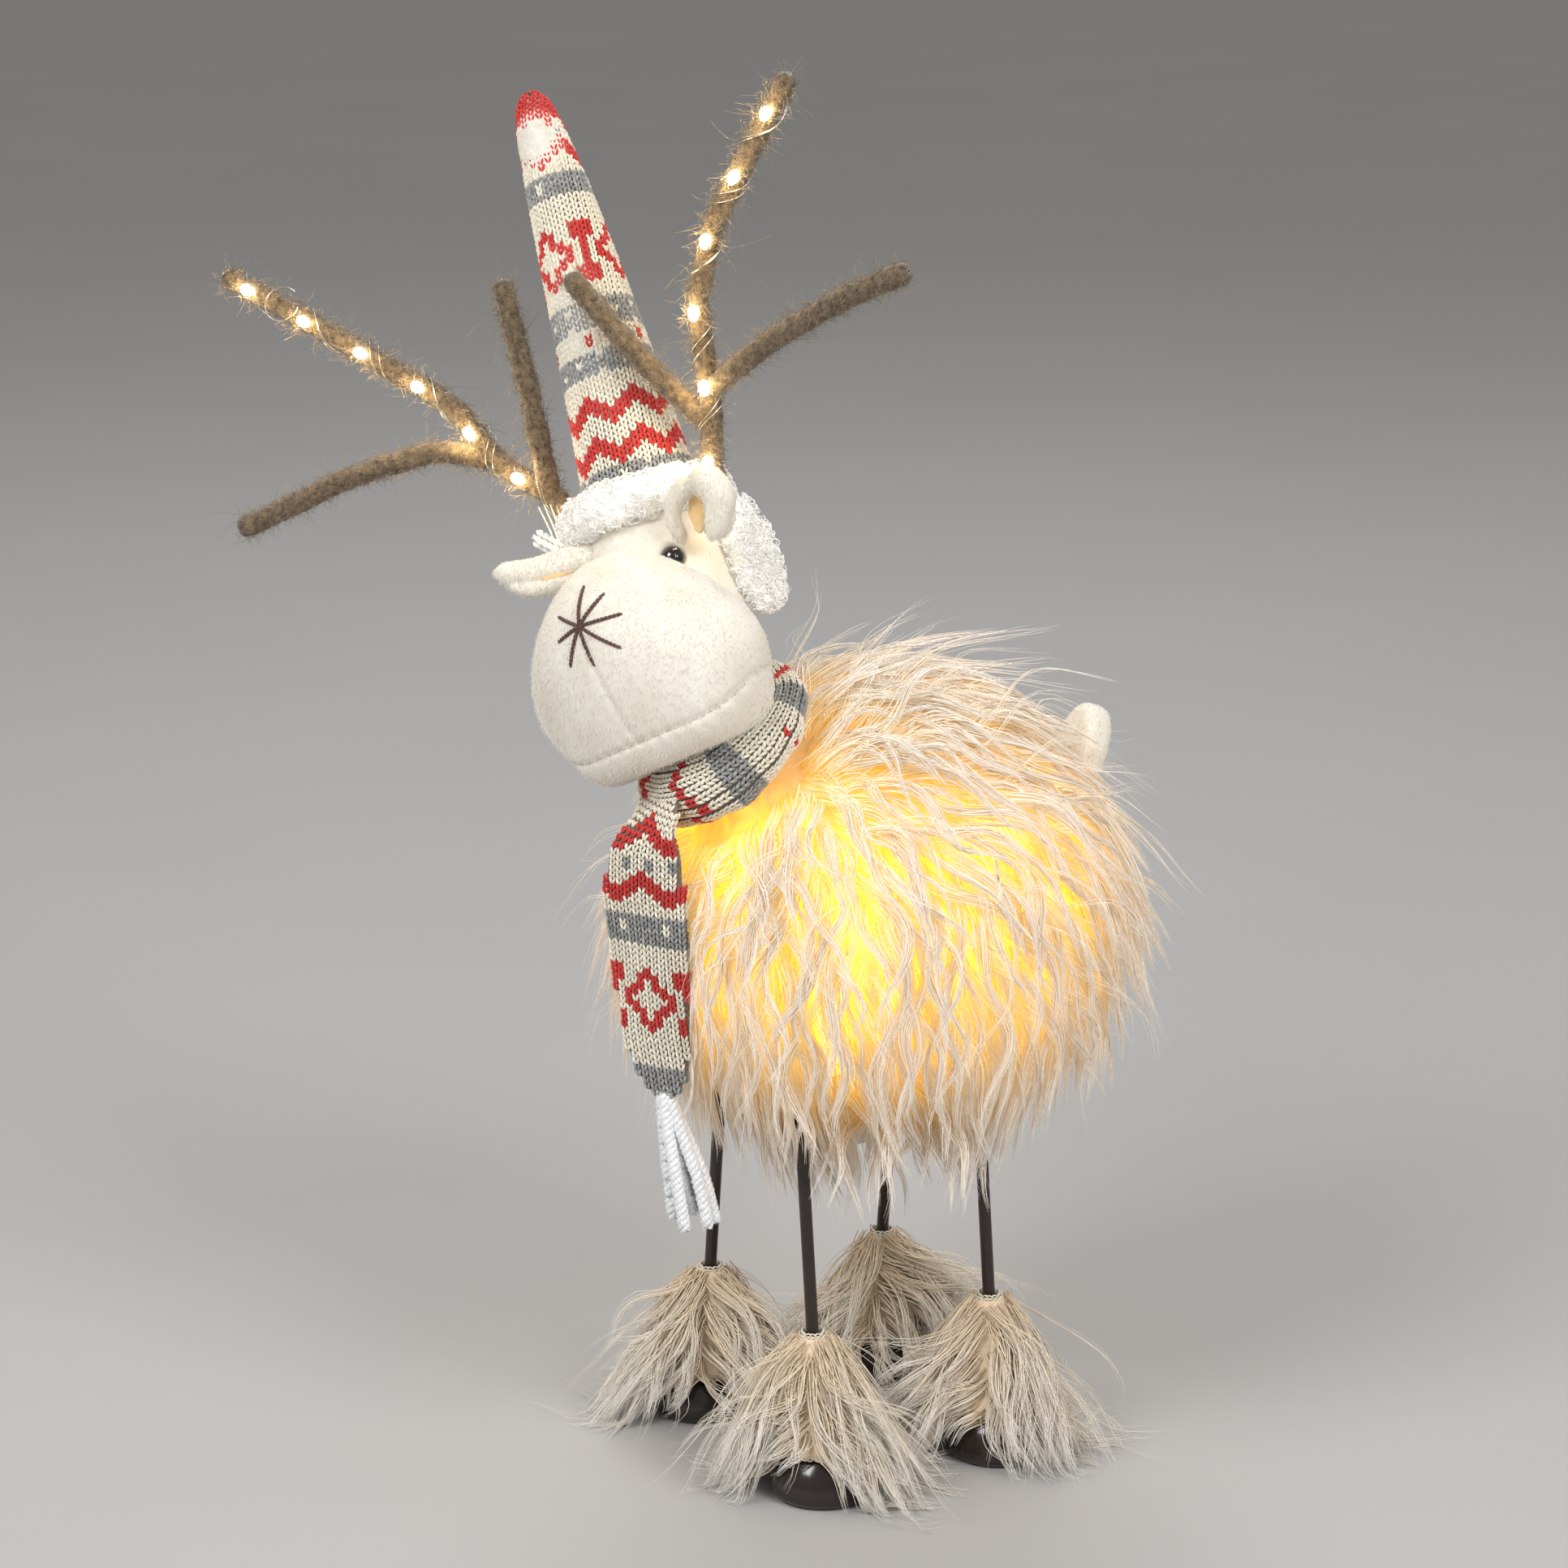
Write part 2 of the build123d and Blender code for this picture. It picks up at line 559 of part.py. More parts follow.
with BuildPart() as antler_cores:
    for name, points in antler_paths.items():
        add(swept_rod(points, ANTLER_BEND, ANTLER_CORE).part)
        if name.endswith("stem"):
            base = Vector(points[0])
            up_stem = (Vector(points[1]) - base).normalized()
            with BuildSketch(Plane(base - up_stem * CORE_ROOT, z_dir=up_stem)):
                Circle(ANTLER_CORE)
            extrude(amount=CORE_ROOT + 0.1)


# fine wire wound along each stem, with a bulb on it every turn
WIND_RADIUS = 7.3
WIND_STEPS = 6
WIND_PITCH = 38.0


def stem_line(name):
    with BuildLine() as stem:
        FilletPolyline(*antler_paths[name], radius=ANTLER_BEND)
    return stem.wire()


def around_stem(stem, fraction, turn, radius):
    """A point beside a stem, by its place along it and its angle round it."""
    here = stem.position_at(fraction)
    ahead = stem.tangent_at(fraction)
    forward = Vector(0, -1, 0)
    first = (forward - ahead * forward.dot(ahead)).normalized()
    second = ahead.cross(first)
    return here + first * (radius * cos(turn)) + second * (radius * sin(turn))


def winding(name):
    stem = stem_line(name)
    steps = int(stem.length / WIND_PITCH * WIND_STEPS)
    turns = [2 * pi * step / WIND_STEPS for step in range(1, steps)]
    return [around_stem(stem, (step + 1) / (steps + 1), turn, WIND_RADIUS) for step, turn in enumerate(turns)]


with BuildPart() as antler_light_wire:
    for name in ("left_stem", "right_stem"):
        add(swept_rod(winding(name), 4, WIRE_RADIUS).part)

with BuildPart() as antler_bulbs:
    for name in ("left_stem", "right_stem"):
        stem = stem_line(name)
        count = int(stem.length / WIND_PITCH) + 1
        for bulb in range(count):
            fraction = (bulb + 0.5) / (count + 0.05)
            with Locations(around_stem(stem, fraction, 0.25, ANTLER_RADIUS + BULB_RADIUS + 0.2)):
                Sphere(BULB_RADIUS)
    add(antler_light_wire.part, mode=Mode.SUBTRACT)

def wrapped_antler(name):
    """The wool of one stem or tine, pressed in by the wires, and ending at the stem it grows from."""
    with BuildPart() as wrap:
        add(antler_wraps[name].part)
        for taken in (antler_cores, antler_light_wire, antler_bulbs):
            add(taken.part, mode=Mode.SUBTRACT)
        if not name.endswith("stem"):
            add(antler_wraps[name.split("_")[0] + "_stem"].part, mode=Mode.SUBTRACT)
        cut_off = wrap.solids().sort_by(SortBy.VOLUME)[:-1]
        if cut_off:
            add(cut_off, mode=Mode.SUBTRACT)
    return wrap


antler_pieces = {name: wrapped_antler(name) for name in antler_paths}

# ---- skull, a turned bag of stuffing round the crown axis
with BuildPart() as skull_form:
    with BuildSketch(section_plane(head_origin, crown)):
        with BuildLine():
            bottom = Line((0, 2), (24, 2))
            cheek = Spline(bottom @ 1, (33, 34), (35.5, 78), (29, 122), (0, 140), tangents=[(0.6, 1), (-1, 0)])
            Line(cheek @ 1, bottom @ 0)
        make_face()
    revolve(axis=Axis(head_origin, crown))

EYE_RADIUS = 6.0
eye_forward = radians(46)


def eye_place(side):
    """The plane of one eye on the skull, its normal pointing out of the eye."""
    out = Vector(side * sin(eye_forward), -cos(eye_forward), 0)
    middle = Vector(0, 19, 93)
    return Plane(middle + out * 34.5, z_dir=out)


EYE_STEM = 12.0


with BuildPart() as eyes:
    for side in SIDES.values():
        with Locations(eye_place(side).offset(-1.5).location):
            Sphere(EYE_RADIUS)
        with BuildSketch(eye_place(side).offset(-EYE_STEM - 4)):
            Circle(1.6)
        extrude(amount=EYE_STEM)

with BuildPart() as eye_washers:
    for side in SIDES.values():
        with BuildSketch(eye_place(side).offset(-12)):
            Circle(7)
            Circle(1.6, mode=Mode.SUBTRACT)
        extrude(amount=1.2)

# ---- lead in the head: up from the post, then out to both antlers
lead_low = head_neck * (from_joint(POST_TOP) + 1.5)
lead_fork = Vector(0, 16, 100)
LEAD_REACH = 34.0
with BuildPart() as head_lead:
    rise = lead_fork - lead_low
    with BuildSketch(Plane(lead_low, z_dir=rise.normalized())):
        Circle(LEAD_RADIUS)
    extrude(amount=rise.length)
    with BuildSketch(Plane(lead_fork, z_dir=(1, 0, 0))):
        Circle(LEAD_RADIUS)
    extrude(amount=LEAD_REACH, both=True)

with BuildPart() as skull:
    add(skull_form.part)
    for taken in (neck_clearance, ball_clearance, antler_cores, head_lead, eye_washers, eyes,
                  antler_wraps["left_stem"], antler_wraps["right_stem"]):
        add(taken.part, mode=Mode.SUBTRACT)

# ---- muzzle above the mouth seam, chin panel below it: (height, y middle, half width, half depth)
MOUTH_HEIGHT = 17.0
muzzle_rings = [(MOUTH_HEIGHT, -24, 59, 32), (34, -25, 63.5, 36), (56, -26, 61, 39), (76, -28, 49, 35.5),
                (93, -28, 32, 25), (105, -27, 9, 8)]
chin_rings = [(3, -24, 36, 20), (8, -24, 52, 28), (MOUTH_HEIGHT, -24, 59, 32)]


def lofted_rings(rings):
    with BuildPart() as piece:
        for height, middle, half_width, half_depth in rings:
            with BuildSketch(Plane.XY.offset(height)):
                with Locations((0, middle)):
                    Ellipse(half_width, half_depth)
        loft()
    return piece


NOSE_CENTRE = Vector(0, -63.2, 79)
NOSE_RAYS = 8
NOSE_REACH = 20.0
STITCH = 0.9
with BuildPart() as nose_stitches:
    nose_plane = Plane(NOSE_CENTRE, x_dir=(1, 0, 0), z_dir=(0, -1, 0.1))
    for ray in range(NOSE_RAYS):
        turn = 2 * pi * (ray + 0.3) / NOSE_RAYS
        along = nose_plane.x_dir * cos(turn) + nose_plane.y_dir * sin(turn)
        sink = (along - nose_plane.z_dir * 0.12).normalized()
        with BuildSketch(Plane(NOSE_CENTRE, z_dir=sink)):
            Circle(STITCH)
        extrude(amount=NOSE_REACH)

with BuildPart() as muzzle:
    add(lofted_rings(muzzle_rings).part)
    for taken in (skull_form, neck_clearance, ball_clearance, head_lead, nose_stitches, eyes):
        add(taken.part, mode=Mode.SUBTRACT)

with BuildPart() as chin:
    add(lofted_rings(chin_rings).part)
    for taken in (skull_form, neck_clearance, ball_clearance):
        add(taken.part, mode=Mode.SUBTRACT)
    cut_off = chin.solids().sort_by(SortBy.VOLUME)[:-1]
    if cut_off:
        add(cut_off, mode=Mode.SUBTRACT)

# ---- hat: a stuffed knitted cone, with a sherpa brim and flaps
HAT_WALL = 2.0
HAT_LOW = 125.0
hat_outline = [(30, HAT_LOW), (27.5, 145), (24, 190), (20, 243), (15.5, 293), (10, 335)]
HAT_TIP = 344.0


def hat_solid(inset):
    """The cone's solid, inside its outer face by a wall's thickness or more."""
    with BuildPart() as cone:
        with BuildSketch(section_plane(head_origin, crown)):
            with BuildLine():
                side = Spline(*[(radius - inset, height) for radius, height in hat_outline],
                              (0, HAT_TIP - inset), tangents=[(-0.15, 1), (-1, 0)])
                foot = Line(side @ 0, (0, HAT_LOW))
                Line(foot @ 1, side @ 1)
            make_face()
        revolve(axis=Axis(head_origin, crown))
    return cone


with BuildPart() as hat:
    add(hat_solid(0).part)
    add(hat_solid(HAT_WALL).part, mode=Mode.SUBTRACT)
    add(skull_form.part, mode=Mode.SUBTRACT)
    add(antler_wraps["left_inner_tine"].part, mode=Mode.SUBTRACT)

with BuildPart() as hat_stuffing:
    add(hat_solid(HAT_WALL + 0.2).part)
    add(skull_form.part, mode=Mode.SUBTRACT)
    add(antler_cores.part, mode=Mode.SUBTRACT)

BRIM_MIDDLE = 123.5
with BuildPart() as hat_brim:
    with BuildSketch(section_plane(head_origin, crown)):
        with Locations((35, BRIM_MIDDLE)):
            Ellipse(6.5, 8.5)
    revolve(axis=Axis(head_origin, crown))
    for taken in (skull_form, hat_solid(0), antler_cores, antler_light_wire, antler_bulbs,
                  antler_wraps["left_stem"], antler_wraps["right_stem"]):
        add(taken.part, mode=Mode.SUBTRACT)


def make_flap(side):
    """One sherpa ear flap, hanging from the brim beside and behind the ear."""
    with BuildPart() as flap:
        with BuildSketch(Plane((side * 36.4, 36, 82), x_dir=(0, 1, 0), z_dir=(side, 0, 0))):
            Ellipse(16, 28)
        extrude(amount=8)
        fillet(flap.edges().filter_by(GeomType.ELLIPSE), radius=2.5)
        for taken in (hat_brim, antler_cores, antler_wraps["left_stem"], antler_wraps["right_stem"],
                      skull_form):
            add(taken.part, mode=Mode.SUBTRACT)
    return flap


with BuildPart() as ear_flaps:
    for side in SIDES.values():
        add(make_flap(side).part)


def make_ear(side):
    """One leaf ear, standing out sideways and a little forwards."""
    out = Vector(side * 0.87, -0.45, 0.2).normalized()
    face = Vector(0, -0.6, 0.8)
    face = (face - out * face.dot(out)).normalized()
    with BuildPart() as ear:
        with BuildSketch(Plane((side * 32, 7, 106), x_dir=out, z_dir=face)):
            with Locations((26, 0)):
                Ellipse(27, 13)
        extrude(amount=3.5, both=True)
        fillet(ear.edges().filter_by(GeomType.ELLIPSE), radius=2)
        for taken in (skull_form, hat_brim, ear_flaps, eyes, antler_cores,
                      antler_wraps["left_stem"], antler_wraps["right_stem"]):
            add(taken.part, mode=Mode.SUBTRACT)
    return ear


ears = {name: make_ear(side) for name, side in SIDES.items()}

with BuildPart() as brim_tuft:
    tuft_root = Vector(-45, 36, 120)
    tuft_out = Vector(-0.75, 0.2, 0.63).normalized()
    with BuildSketch(Plane(tuft_root, z_dir=tuft_out)):
        Circle(3.2)
    extrude(amount=24)
    fillet(brim_tuft.edges(), radius=2)

head_pieces = {
    "neck_socket": neck_socket,
    "skull": skull,
    "muzzle": muzzle,
    "chin": chin,
    "nose_stitches": nose_stitches,
    "eyes": eyes,
    "eye_washers": eye_washers,
    "ear_left": ears["left"],
    "ear_right": ears["right"],
    "hat": hat,
    "hat_stuffing": hat_stuffing,
    "hat_brim": hat_brim,
    "ear_flaps": ear_flaps,
    "brim_tuft": brim_tuft,
    "antler_cores": antler_cores,
    "antler_light_wire": antler_light_wire,
    "antler_bulbs": antler_bulbs,
    "head_lead": head_lead,
}
for name, piece in antler_pieces.items():
    head_pieces[f"antler_{name}"] = piece

for name, piece in head_pieces.items():
    piece.part.move(head_place)
    write(piece, name)
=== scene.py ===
"""Looks of the light up yard reindeer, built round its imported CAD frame.

Lengths in this script are millimetres until make_mesh() turns them into metres. Head pieces are
drawn in the head's own frame (neck joint at its origin, +x the animal's left, -y the nose).
"""
import json
import math

import bpy
import numpy as np
from mathutils import Matrix, Vector
from mathutils.bvhtree import BVHTree


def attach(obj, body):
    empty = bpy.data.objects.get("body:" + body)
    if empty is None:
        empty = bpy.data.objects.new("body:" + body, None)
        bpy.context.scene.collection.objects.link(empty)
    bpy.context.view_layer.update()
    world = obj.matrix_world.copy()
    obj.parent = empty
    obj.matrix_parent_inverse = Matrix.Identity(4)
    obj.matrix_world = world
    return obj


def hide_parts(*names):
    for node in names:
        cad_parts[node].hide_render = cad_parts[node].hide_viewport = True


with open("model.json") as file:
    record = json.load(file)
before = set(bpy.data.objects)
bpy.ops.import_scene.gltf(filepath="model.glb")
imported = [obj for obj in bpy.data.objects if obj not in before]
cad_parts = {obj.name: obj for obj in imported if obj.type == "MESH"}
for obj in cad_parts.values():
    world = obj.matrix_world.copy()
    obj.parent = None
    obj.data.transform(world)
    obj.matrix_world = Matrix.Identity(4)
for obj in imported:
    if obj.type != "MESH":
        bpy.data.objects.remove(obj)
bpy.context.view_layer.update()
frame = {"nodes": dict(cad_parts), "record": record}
rng = np.random.default_rng(20261117)
MM = 0.001
TAU = 2 * math.pi

# ---------------------------------------------------------------- the frame's own places
BALL = np.array((0.0, 12.0, 280.0))
NECK_LEAN = math.radians(45)
NECK_DISTANCE = 126.0
NECK_AXIS = np.array((0.0, -math.sin(NECK_LEAN), math.cos(NECK_LEAN)))
NECK_POINT = BALL + NECK_AXIS * NECK_DISTANCE
HEAD_TURN = math.radians(39)
HEAD_NOD = math.radians(7)
turn = np.array(Matrix.Rotation(HEAD_TURN, 3, Vector(NECK_AXIS)))
head_x = turn @ np.array((1.0, 0.0, 0.0))
head_z = turn @ np.array((0.0, -math.sin(HEAD_NOD), math.cos(HEAD_NOD)))
head_y = np.cross(head_z, head_x)
HEAD = np.column_stack((head_x, head_y, head_z))
CROWN = np.array((0.0, math.sin(math.radians(12)), math.cos(math.radians(12))))


def from_head(points):
    """Head-frame millimetres to row-frame millimetres."""
    return np.asarray(points, float) @ HEAD.T + NECK_POINT


def to_head(points):
    return (np.asarray(points, float) - NECK_POINT) @ HEAD


def unit(v):
    return v / np.maximum(np.linalg.norm(v, axis=-1, keepdims=True), 1e-9)


def smooth_step(x):
    x = np.clip(x, 0, 1)
    return x * x * (3 - 2 * x)


# ---------------------------------------------------------------- materials
def node(tree, kind, **values):
    made = tree.nodes.new(kind)
    for name, value in values.items():
        if name in made.inputs:
            made.inputs[name].default_value = value
        else:
            setattr(made, name, value)
    return made


def shader(name, **sockets):
    """A new material with a Principled shader; sockets are set directly on it."""
    material = bpy.data.materials.new(name)
    material.use_nodes = True
    tree = material.node_tree
    principled = tree.nodes["Principled BSDF"]
    for socket, value in sockets.items():
        principled.inputs[socket.replace("_", " ")].default_value = value
    return material, tree, principled


def coordinates(tree, stretch=(1, 1, 1)):
    """Places in the object's own metres, stretched along each axis."""
    place = node(tree, "ShaderNodeTexCoord")
    mapping = node(tree, "ShaderNodeMapping", Scale=stretch)
    tree.links.new(place.outputs["Object"], mapping.inputs["Vector"])
    return mapping.outputs["Vector"]


def looked_up(tree, value, stops):
    """The colour that a value picks from a ramp."""
    ramp = tree.nodes.new("ShaderNodeValToRGB")
    elements = ramp.color_ramp.elements
    while len(elements) < len(stops):
        elements.new(0.5)
    for element, (place, colour) in zip(elements, stops):
        element.position = place
        element.color = (*colour, 1)
    tree.links.new(value, ramp.inputs["Fac"])
    return ramp.outputs["Color"]


def multiplied(tree, one, other):
    """The product of two colours."""
    mix = node(tree, "ShaderNodeMix", data_type="RGBA", blend_type="MULTIPLY")
    mix.inputs["Factor"].default_value = 1.0
    tree.links.new(one, mix.inputs["A"])
    tree.links.new(other, mix.inputs["B"])
    return mix.outputs["Result"]


def texture(tree, where, kind="Noise", **values):
    """A procedural texture node that is laid out by a vector."""
    made = node(tree, f"ShaderNodeTex{kind}", **values)
    tree.links.new(where, made.inputs["Vector"])
    return made


def noise_stops(tree, where, scale, stops, detail=4.0):
    noise = texture(tree, where, Scale=scale, Detail=detail)
    return looked_up(tree, noise.outputs["Fac"], stops)


def add_bump(tree, principled, height, strength, distance):
    bump = node(tree, "ShaderNodeBump", Strength=strength, Distance=distance)
    tree.links.new(height, bump.inputs["Height"])
    tree.links.new(bump.outputs["Normal"], principled.inputs["Normal"])


def surface(name, dark, light, scale, bump_scale, bump=0.3, depth=0.0004, stretch=(1, 1, 1), **sockets):
    """A surface whose colour wanders between two tones, with a fine relief."""
    material, tree, principled = shader(name, **sockets)
    where = coordinates(tree, stretch)
    colour = noise_stops(tree, where, scale, [(0.3, dark), (0.7, light)])
    tree.links.new(colour, principled.inputs["Base Color"])
    fine = texture(tree, where, Scale=bump_scale, Detail=3.0)
    add_bump(tree, principled, fine.outputs["Fac"], bump, depth)
    return material


def yarn(name, dark, light, **sockets):
    """Spun yarn: mottled along its fibres, with the plies as a fine oblique relief."""
    sockets = {"Roughness": 0.85, "Sheen_Weight": 0.25, **sockets}
    material, tree, principled = shader(name, **sockets)
    where = coordinates(tree)
    colour = noise_stops(tree, where, 420.0, [(0.25, dark), (0.65, light)], detail=5.0)
    tree.links.new(colour, principled.inputs["Base Color"])
    plies = texture(tree, where, "Wave", Scale=260.0, Distortion=2.5, Detail=2.0, bands_direction="DIAGONAL")
    add_bump(tree, principled, plies.outputs["Fac"], 0.5, 0.0004)
    return material


LIT_SHARE = [(0.05, (0.02, 0.02, 0.02)), (0.95, (1.0, 1.0, 1.0))]


def strand_material(name, stops, tints, glow=None, glow_strength=0.0, **sockets):
    """Hair: colour runs from root to tip along V, and each lock has a tint of its own along U. Where it
    glows, its light also rises along U."""
    material, tree, principled = shader(name, **sockets)
    uv = node(tree, "ShaderNodeUVMap", uv_map="OFBake")
    split = node(tree, "ShaderNodeSeparateXYZ")
    tree.links.new(uv.outputs["UV"], split.inputs["Vector"])
    across, along = split.outputs["X"], split.outputs["Y"]
    scatter = node(tree, "ShaderNodeTexNoise", Scale=37.0, Detail=0.0, noise_dimensions="1D")
    tree.links.new(across, scatter.inputs["W"])
    colour = multiplied(tree, looked_up(tree, along, stops), looked_up(tree, scatter.outputs["Fac"], tints))
    tree.links.new(colour, principled.inputs["Base Color"])
    if glow:
        lit = multiplied(tree, looked_up(tree, along, glow), looked_up(tree, across, LIT_SHARE))
        tree.links.new(lit, principled.inputs["Emission Color"])
        principled.inputs["Emission Strength"].default_value = glow_strength
    return material


IVORY_DARK, IVORY_LIGHT = (0.76, 0.70, 0.59), (0.87, 0.83, 0.74)
NAP = (1.0, 1.0, 0.35)
plush = surface("plush", IVORY_DARK, IVORY_LIGHT, 60, 900, 0.35, 0.0005, NAP,
                Roughness=0.9, Sheen_Weight=0.45, Sheen_Roughness=0.4)
# Orange colour of the ear's inner fold: painted warm light from the antler lights.
painted_warm_ear_lining = surface("ear_lining_painted_warm_light", (0.82, 0.55, 0.24), (0.90, 0.70, 0.42), 50, 900, 0.3, 0.0005,
                    Roughness=0.9, Sheen_Weight=0.4)
sherpa = surface("sherpa_fleece", (0.86, 0.84, 0.80), (0.95, 0.94, 0.92), 260, 420, 0.5, 0.0008,
                 Roughness=0.95, Sheen_Weight=0.4)
cream_yarn = yarn("cream_yarn", (0.70, 0.63, 0.49), (0.90, 0.85, 0.73))
red_yarn = yarn("red_yarn", (0.46, 0.014, 0.012), (0.70, 0.04, 0.03))
grey_yarn = yarn("grey_yarn", (0.13, 0.135, 0.14), (0.42, 0.42, 0.41))
# Dark sheet under the stitches: painted shade for the gaps between them, not a yarn colour of the knit.
knit_gap_shade = yarn("knit_gap_shade", (0.10, 0.08, 0.06), (0.22, 0.18, 0.14))
white_yarn = yarn("white_chenille", (0.72, 0.74, 0.77), (0.93, 0.94, 0.95), Sheen_Weight=0.5)
brown_thread = yarn("nose_thread", (0.045, 0.018, 0.011), (0.13, 0.056, 0.034), Roughness=0.6)
seam_thread = yarn("seam_thread", (0.50, 0.44, 0.34), (0.66, 0.60, 0.48))
gloss_brown = surface("hoof_gloss_brown", (0.011, 0.0045, 0.004), (0.019, 0.008, 0.006), 40, 700, 0.04,
                      0.0001, Roughness=0.2, Coat_Weight=0.5, Coat_Roughness=0.1)
rod_paint = surface("rod_paint", (0.013, 0.006, 0.005), (0.024, 0.011, 0.009), 90, 900, 0.12, 0.0001,
                    Roughness=0.34, Coat_Weight=0.2, Coat_Roughness=0.2)
bead_black = surface("eye_bead_black", (0.002, 0.002, 0.002), (0.010, 0.007, 0.006), 120, 400, 0.02, 0.00005,
                     Roughness=0.06, Coat_Weight=1.0, Coat_Roughness=0.03)
white_plastic = surface("box_plastic_white", (0.66, 0.66, 0.64), (0.78, 0.78, 0.76), 90, 1500, 0.15, 0.0001,
                        Roughness=0.45)
black_plastic = surface("switch_plastic_black", (0.010, 0.010, 0.010), (0.022, 0.022, 0.022), 200, 1800, 0.2,
                        0.0001, Roughness=0.4)
cell_jacket = surface("cell_jacket", (0.05, 0.06, 0.08), (0.11, 0.12, 0.15), 60, 900, 0.05, 0.0001,
                      Roughness=0.3)
steel = surface("bright_steel", (0.42, 0.42, 0.43), (0.62, 0.62, 0.63), 300, 1200, 0.1, 0.0001, (1, 1, 6),
                Roughness=0.32, Metallic=1.0)
silver_wire = surface("silver_wire", (0.60, 0.58, 0.52), (0.80, 0.78, 0.70), 300, 1500, 0.1, 0.0001,
                      Roughness=0.28, Metallic=1.0)
clear_lead = surface("clear_lead", (0.70, 0.66, 0.54), (0.86, 0.83, 0.72), 200, 900, 0.1, 0.0001,
                     Roughness=0.25, Coat_Weight=0.4)
iron = surface("cast_iron", (0.06, 0.06, 0.062), (0.12, 0.12, 0.125), 200, 700, 0.5, 0.0004, Roughness=0.75,
               Metallic=0.7)
felt = surface("grey_felt", (0.06, 0.058, 0.058), (0.11, 0.105, 0.105), 300, 1300, 0.6, 0.0005,
               Roughness=0.97, Sheen_Weight=0.3)
board_green = surface("board_green", (0.015, 0.07, 0.025), (0.03, 0.11, 0.045), 250, 900, 0.2, 0.0002,
                      Roughness=0.4)
wadding = surface("wadding", (0.62, 0.58, 0.50), (0.80, 0.77, 0.70), 150, 500, 0.8, 0.001, Roughness=0.98)
wool = surface("antler_wool", (0.05, 0.031, 0.016), (0.235, 0.165, 0.095), 330, 900, 0.9, 0.0011,
               Roughness=0.95, Sheen_Weight=0.35)
FLOOR_GREY = 0.44
floor_paper = surface("floor_paper", (FLOOR_GREY, FLOOR_GREY * 0.985, FLOOR_GREY * 0.975),
                      (FLOOR_GREY * 1.03, FLOOR_GREY * 1.015, FLOOR_GREY), 3, 60, 0.02, 0.0002, Roughness=0.8)

body_hair = strand_material(
    "body_hair",
    [(0.0, (0.94, 0.76, 0.50)), (0.2, (0.95, 0.84, 0.69)), (0.5, (0.97, 0.89, 0.80)),
     (1.0, (0.98, 0.94, 0.88))],
    [(0.3, (0.95, 0.91, 0.87)), (0.65, (1.0, 1.0, 1.0))],
    glow=[(0.0, (1.0, 0.52, 0.01)), (0.15, (0.85, 0.48, 0.03)), (0.35, (0.36, 0.24, 0.06)),
          (0.6, (0.16, 0.11, 0.05)), (1.0, (0.05, 0.036, 0.02))],
    glow_strength=0.62, Roughness=0.38, Sheen_Weight=0.3)
cuff_hair = strand_material(
    "cuff_hair",
    [(0.0, (0.82, 0.65, 0.45)), (0.3, (0.90, 0.77, 0.59)), (0.6, (0.96, 0.88, 0.76)),
     (1.0, (0.98, 0.96, 0.92))],
    [(0.3, (0.93, 0.91, 0.88)), (0.65, (1.0, 1.0, 1.0))], Roughness=0.36, Sheen_Weight=0.4)
plush_nap = strand_material(
    "plush_nap",
    [(0.0, (0.80, 0.75, 0.65)), (1.0, (0.92, 0.89, 0.82))],
    [(0.3, (0.94, 0.93, 0.91)), (0.65, (1.0, 1.0, 1.0))], Roughness=0.7, Sheen_Weight=0.4)
fleece_curls = strand_material(
    "fleece_curls",
    [(0.0, (0.90, 0.89, 0.86)), (1.0, (0.97, 0.96, 0.95))],
    [(0.3, (0.95, 0.95, 0.94)), (0.7, (1.0, 1.0, 1.0))], Roughness=0.8, Sheen_Weight=0.5)
wool_fibres = strand_material(
    "wool_fibres",
    [(0.0, (0.15, 0.10, 0.055)), (1.0, (0.38, 0.29, 0.18))],
    [(0.3, (0.6, 0.6, 0.6)), (0.7, (1.0, 1.0, 1.0))], Roughness=0.8, Sheen_Weight=0.3)


LIT_HEIGHTS = [(0.190, 0.16), (0.245, 1.0), (0.325, 1.0), (0.375, 0.22)]


def glow_material():
    """The pelt under the long hair, with a painted glow for the light of the bulbs inside: amber, with yellow
    pools at random places, and an orange base colour that is painted warm light as well. It is dimmer at the
    heights, in metres, of its top and its bottom."""
    material, tree, principled = shader("lit_pelt", Roughness=0.9, Sheen_Weight=0.2)
    where = coordinates(tree)
    pools = texture(tree, where, "Voronoi", Scale=19.0, feature="SMOOTH_F1", Smoothness=0.6)
    drift = texture(tree, where, Scale=70.0, Detail=3.0, Distortion=1.2)
    blur = node(tree, "ShaderNodeMath", operation="MULTIPLY_ADD")
    blur.inputs[1].default_value = 0.55
    tree.links.new(drift.outputs["Fac"], blur.inputs[0])
    tree.links.new(pools.outputs["Distance"], blur.inputs[2])
    lit = looked_up(tree, blur.outputs[0], [(0.42, (1.0, 0.58, 0.03)), (0.58, (1.0, 0.50, 0.012)),
                                            (0.74, (0.80, 0.36, 0.01)), (0.92, (0.48, 0.21, 0.01))])
    height = node(tree, "ShaderNodeSeparateXYZ")
    tree.links.new(where, height.inputs["Vector"])
    level = looked_up(tree, height.outputs["Z"], [(z, (share, share, share)) for z, share in LIT_HEIGHTS])
    # Emission on the pelt: painted glow standing in for the bulbs' light shining through the fabric.
    tree.links.new(multiplied(tree, lit, level), principled.inputs["Emission Color"])
    principled.inputs["Emission Strength"].default_value = 1.9
    colour = noise_stops(tree, where, 90, [(0.3, (0.80, 0.50, 0.24)), (0.7, (0.90, 0.66, 0.40))])
    tree.links.new(colour, principled.inputs["Base Color"])
    return material


